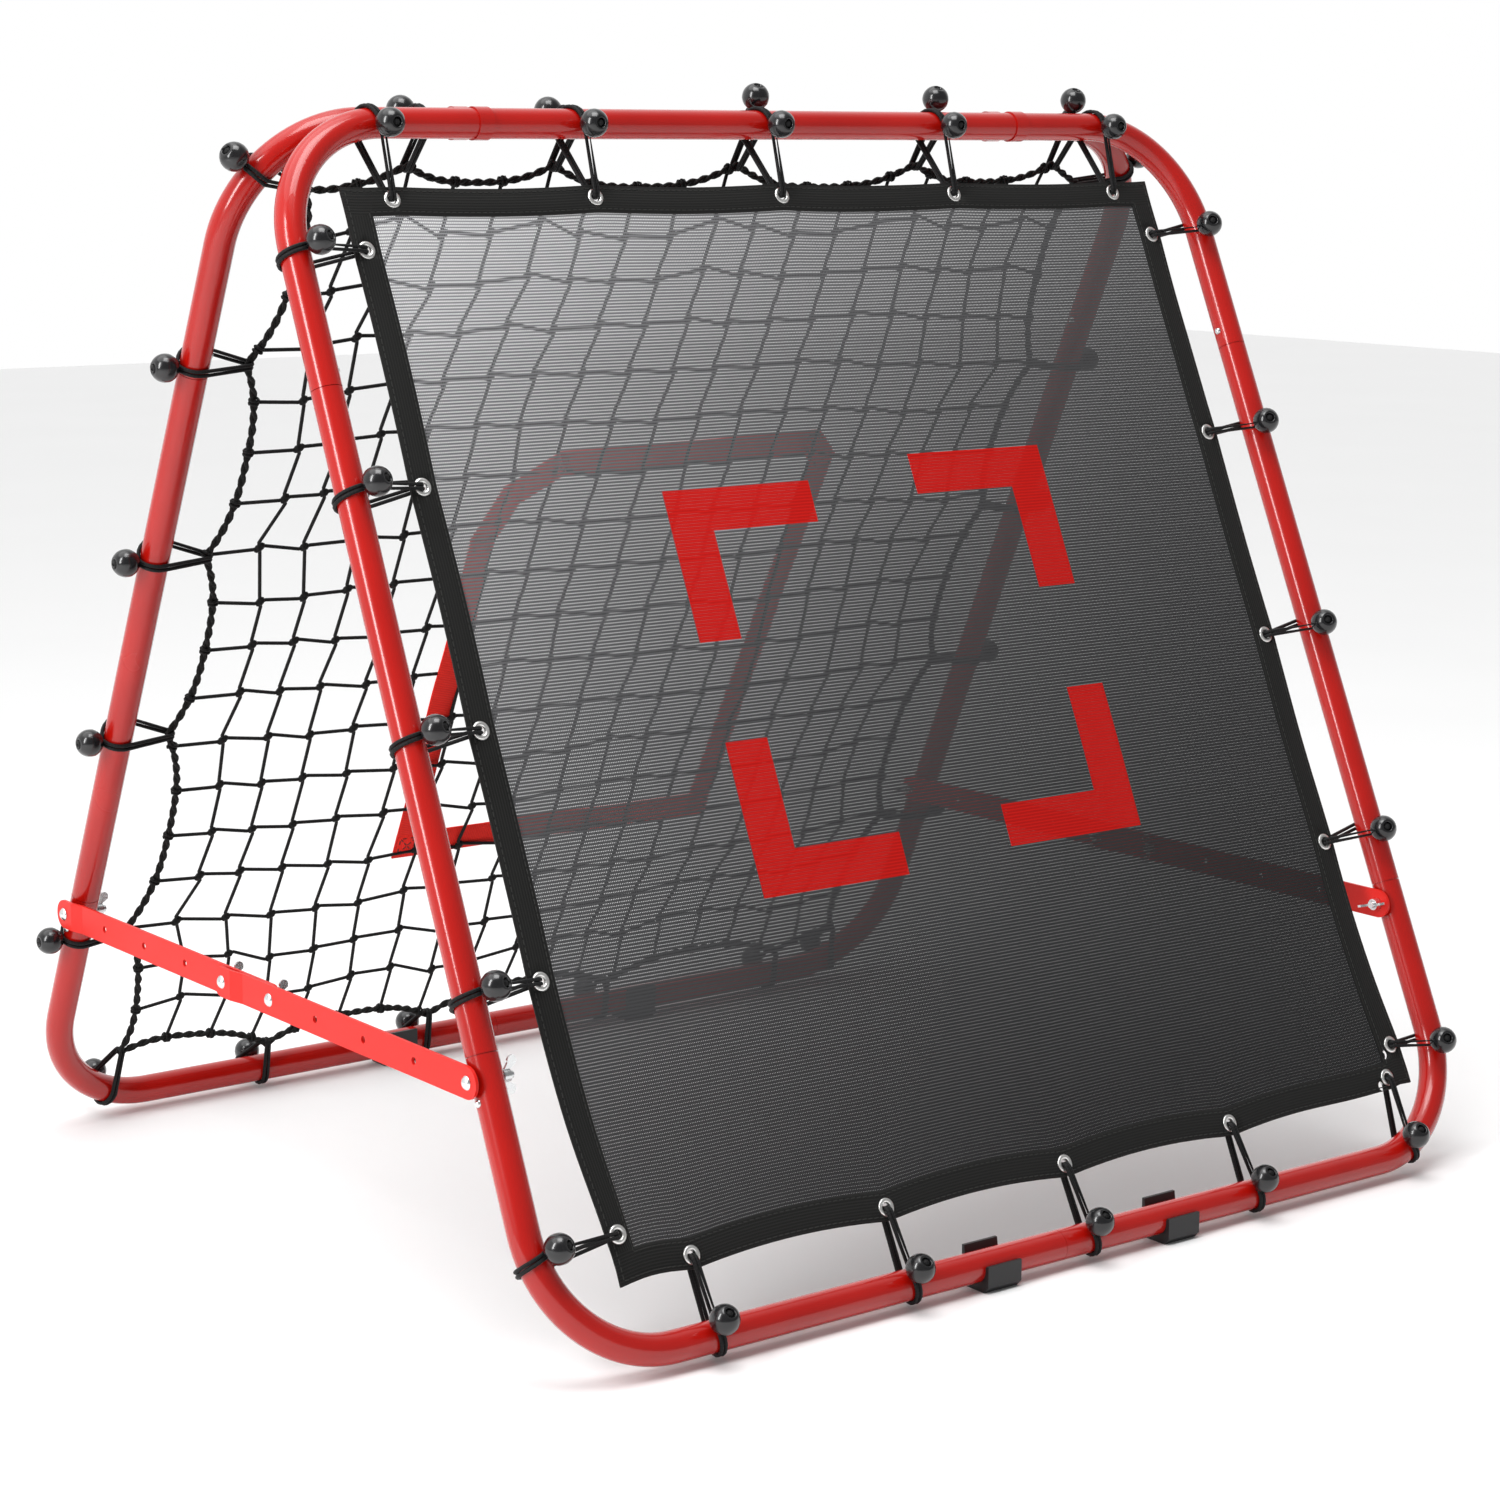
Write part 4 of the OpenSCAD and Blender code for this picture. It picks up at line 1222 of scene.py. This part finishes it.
def strip(start, end, past_start, past_end, lift):
    """A flat run of webbing from start to end and a little past both."""
    run = end - start
    bm = bmesh.new()
    bmesh.ops.create_cube(bm, size=1)
    size = (run.length + past_start + past_end, BAND_THICK, BAND)
    bmesh.ops.scale(bm, verts=bm.verts, vec=size)
    bmesh.ops.translate(bm, verts=bm.verts, vec=((past_end - past_start) / 2, 0, 0))
    long_edges = [e for e in bm.edges if abs((e.verts[0].co - e.verts[1].co).x) > 0.01]
    bmesh.ops.bevel(bm, geom=long_edges, offset=0.0005, offset_type="OFFSET",
                    segments=2, profile=0.5, affect="EDGES")
    cut_at(bm, 0, steps(-run.length / 2, run.length / 2, 0.012))
    map_loops(bm, lambda co: (co.z + co.y, co.x))
    turn = Matrix.Rotation(-math.atan2(run.z, run.x), 4, "Y")
    bm.transform(Matrix.Translation((start + end) / 2 + Vector((0, lift, 0))) @ turn)
    return bm


def waved(point):
    """Where a point of the flat band goes when the net's waves carry it."""
    wave = noise.noise_vector(Vector((point.x * 14, 5, point.z * 14)))
    return point + Vector((wave.x * 0.0016, wave.y * 0.0008, wave.z * 0.0016))


x0, x1 = zone[0].x + BAND / 2, zone[1].x - BAND / 2
z0, z1 = zone[0].z + BAND / 2, zone[1].z - BAND / 2
BACK = zone[0].y + 0.0009
BOX_HALF = 0.0085                  # half the width of a box of stitches
# The band's middle line, from its lower left corner up, over and down again.
OUTLINE = [(x, 0, z) for x, z in (
    (x0, z0 - 0.016), (x0, z1 - 0.078), (x0 + 0.020, z1 - 0.028), (x0 + 0.062, z1 - 0.002),
    (x1 - 0.004, z1 + 0.004), (x1 + 0.014, z1 - 0.014), (x1 - 0.012, z0 - 0.016))]
runs = [(Vector(a), Vector(b)) for a, b in zip(OUTLINE, OUTLINE[1:] + OUTLINE[:1])]
webbing = bmesh.new()
zone_stitches = bmesh.new()
for number, (start, end) in enumerate(runs):
    past_start = overlap(runs[number - 1][0], start, end)
    past_end = overlap(start, end, runs[(number + 1) % len(runs)][1])
    lift = BACK + (number % 2) * (BAND_THICK + 0.0001)
    band = strip(start, end, past_start, past_end, lift)
    band.to_mesh(SCRATCH)
    band.free()
    webbing.from_mesh(SCRATCH)
    box = [start + Vector((dx, 0, dz)) * BOX_HALF for dx, dz in ((-1, -1), (1, -1), (1, 1), (-1, 1))]
    for a, b in [*zip(box, box[1:] + box[:1]), (box[0], box[2]), (box[1], box[3])]:
        sew(zone_stitches, a, b, BACK - BAND_THICK / 2, waved)
for vert in webbing.verts:
    vert.co = waved(vert.co)
zone_webbing = piece(webbing, "strike_zone_band", [red_webbing], REAR, "rear_frame")
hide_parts("strike_zone_webbing")
piece(zone_stitches, "strike_zone_stitches", [seam_thread], REAR, "rear_frame",
      smooth=False)

# %% [markdown]

# %% [markdown]
# ## Studio
# A pale floor and a white world that is dimmer in front, with a soft sun, a lamp overhead and a tall one on the
# left. Painted tubes look glossy only when they have something bright and something less bright to mirror.

# %% Floor, world and lamps
bm = bmesh.new()
bmesh.ops.create_grid(bm, x_segments=1, y_segments=1, size=9)
floor_mesh = bpy.data.meshes.new("floor")
bm.to_mesh(floor_mesh)
bm.free()
floor_finish, floor_tree, floor_place, floor_plug = finish(
    "pale_floor", (0.88, 0.88, 0.88), (0.91, 0.91, 0.91), (0.6, 0.75), (0.02, 0.0002))
floor_grain = use(floor_tree, GRAIN, floor_place, Size=0.004, Patch=0.5)
floor_plug(floor_grain["Height"], floor_grain["Mask"])
floor_mesh.materials.append(floor_finish)
floor = stand("floor", floor_mesh)
floor.location.z = CAD_BOX[0].z

world = bpy.data.worlds.new("studio")
SCENE.world = world
world.use_nodes = True
sky = world.node_tree
background = sky.nodes["Background"]
background.inputs["Color"].default_value = (1, 1, 1, 1)
toward = add(sky, "ShaderNodeSeparateXYZ")
sky.links.new(add(sky, "ShaderNodeTexCoord").outputs["Generated"], toward.inputs[0])
glow = add(sky, "ShaderNodeMapRange", From_Min=-0.3, From_Max=0.5, To_Min=0.28, To_Max=1.0)
sky.links.new(toward.outputs["Y"], glow.inputs["Value"])
sky.links.new(glow.outputs[0], background.inputs["Strength"])


def lamp(name, size, power, location, target):
    light = bpy.data.lights.new(name, "AREA")
    light.shape = "RECTANGLE"
    light.size, light.size_y = size
    light.energy = power
    made = stand(name, light)
    made.location = location
    made.rotation_mode = "QUATERNION"
    made.rotation_quaternion = (Vector(target) - Vector(location)).to_track_quat("-Z", "Y")


lamp("overhead", (1.4, 1.4), 35, (-0.4, -0.6, 3.0), (0, 0, 0.4))
lamp("left", (0.5, 2.2), 60, (-2.9, -0.6, 1.8), (0, 0, 0.5))
soft_sun = bpy.data.lights.new("soft_sun", "SUN")
soft_sun.energy = 1.1
soft_sun.angle = math.radians(60)
sun = stand("soft_sun", soft_sun)
sun.rotation_euler = (math.radians(-8), math.radians(-10), 0)
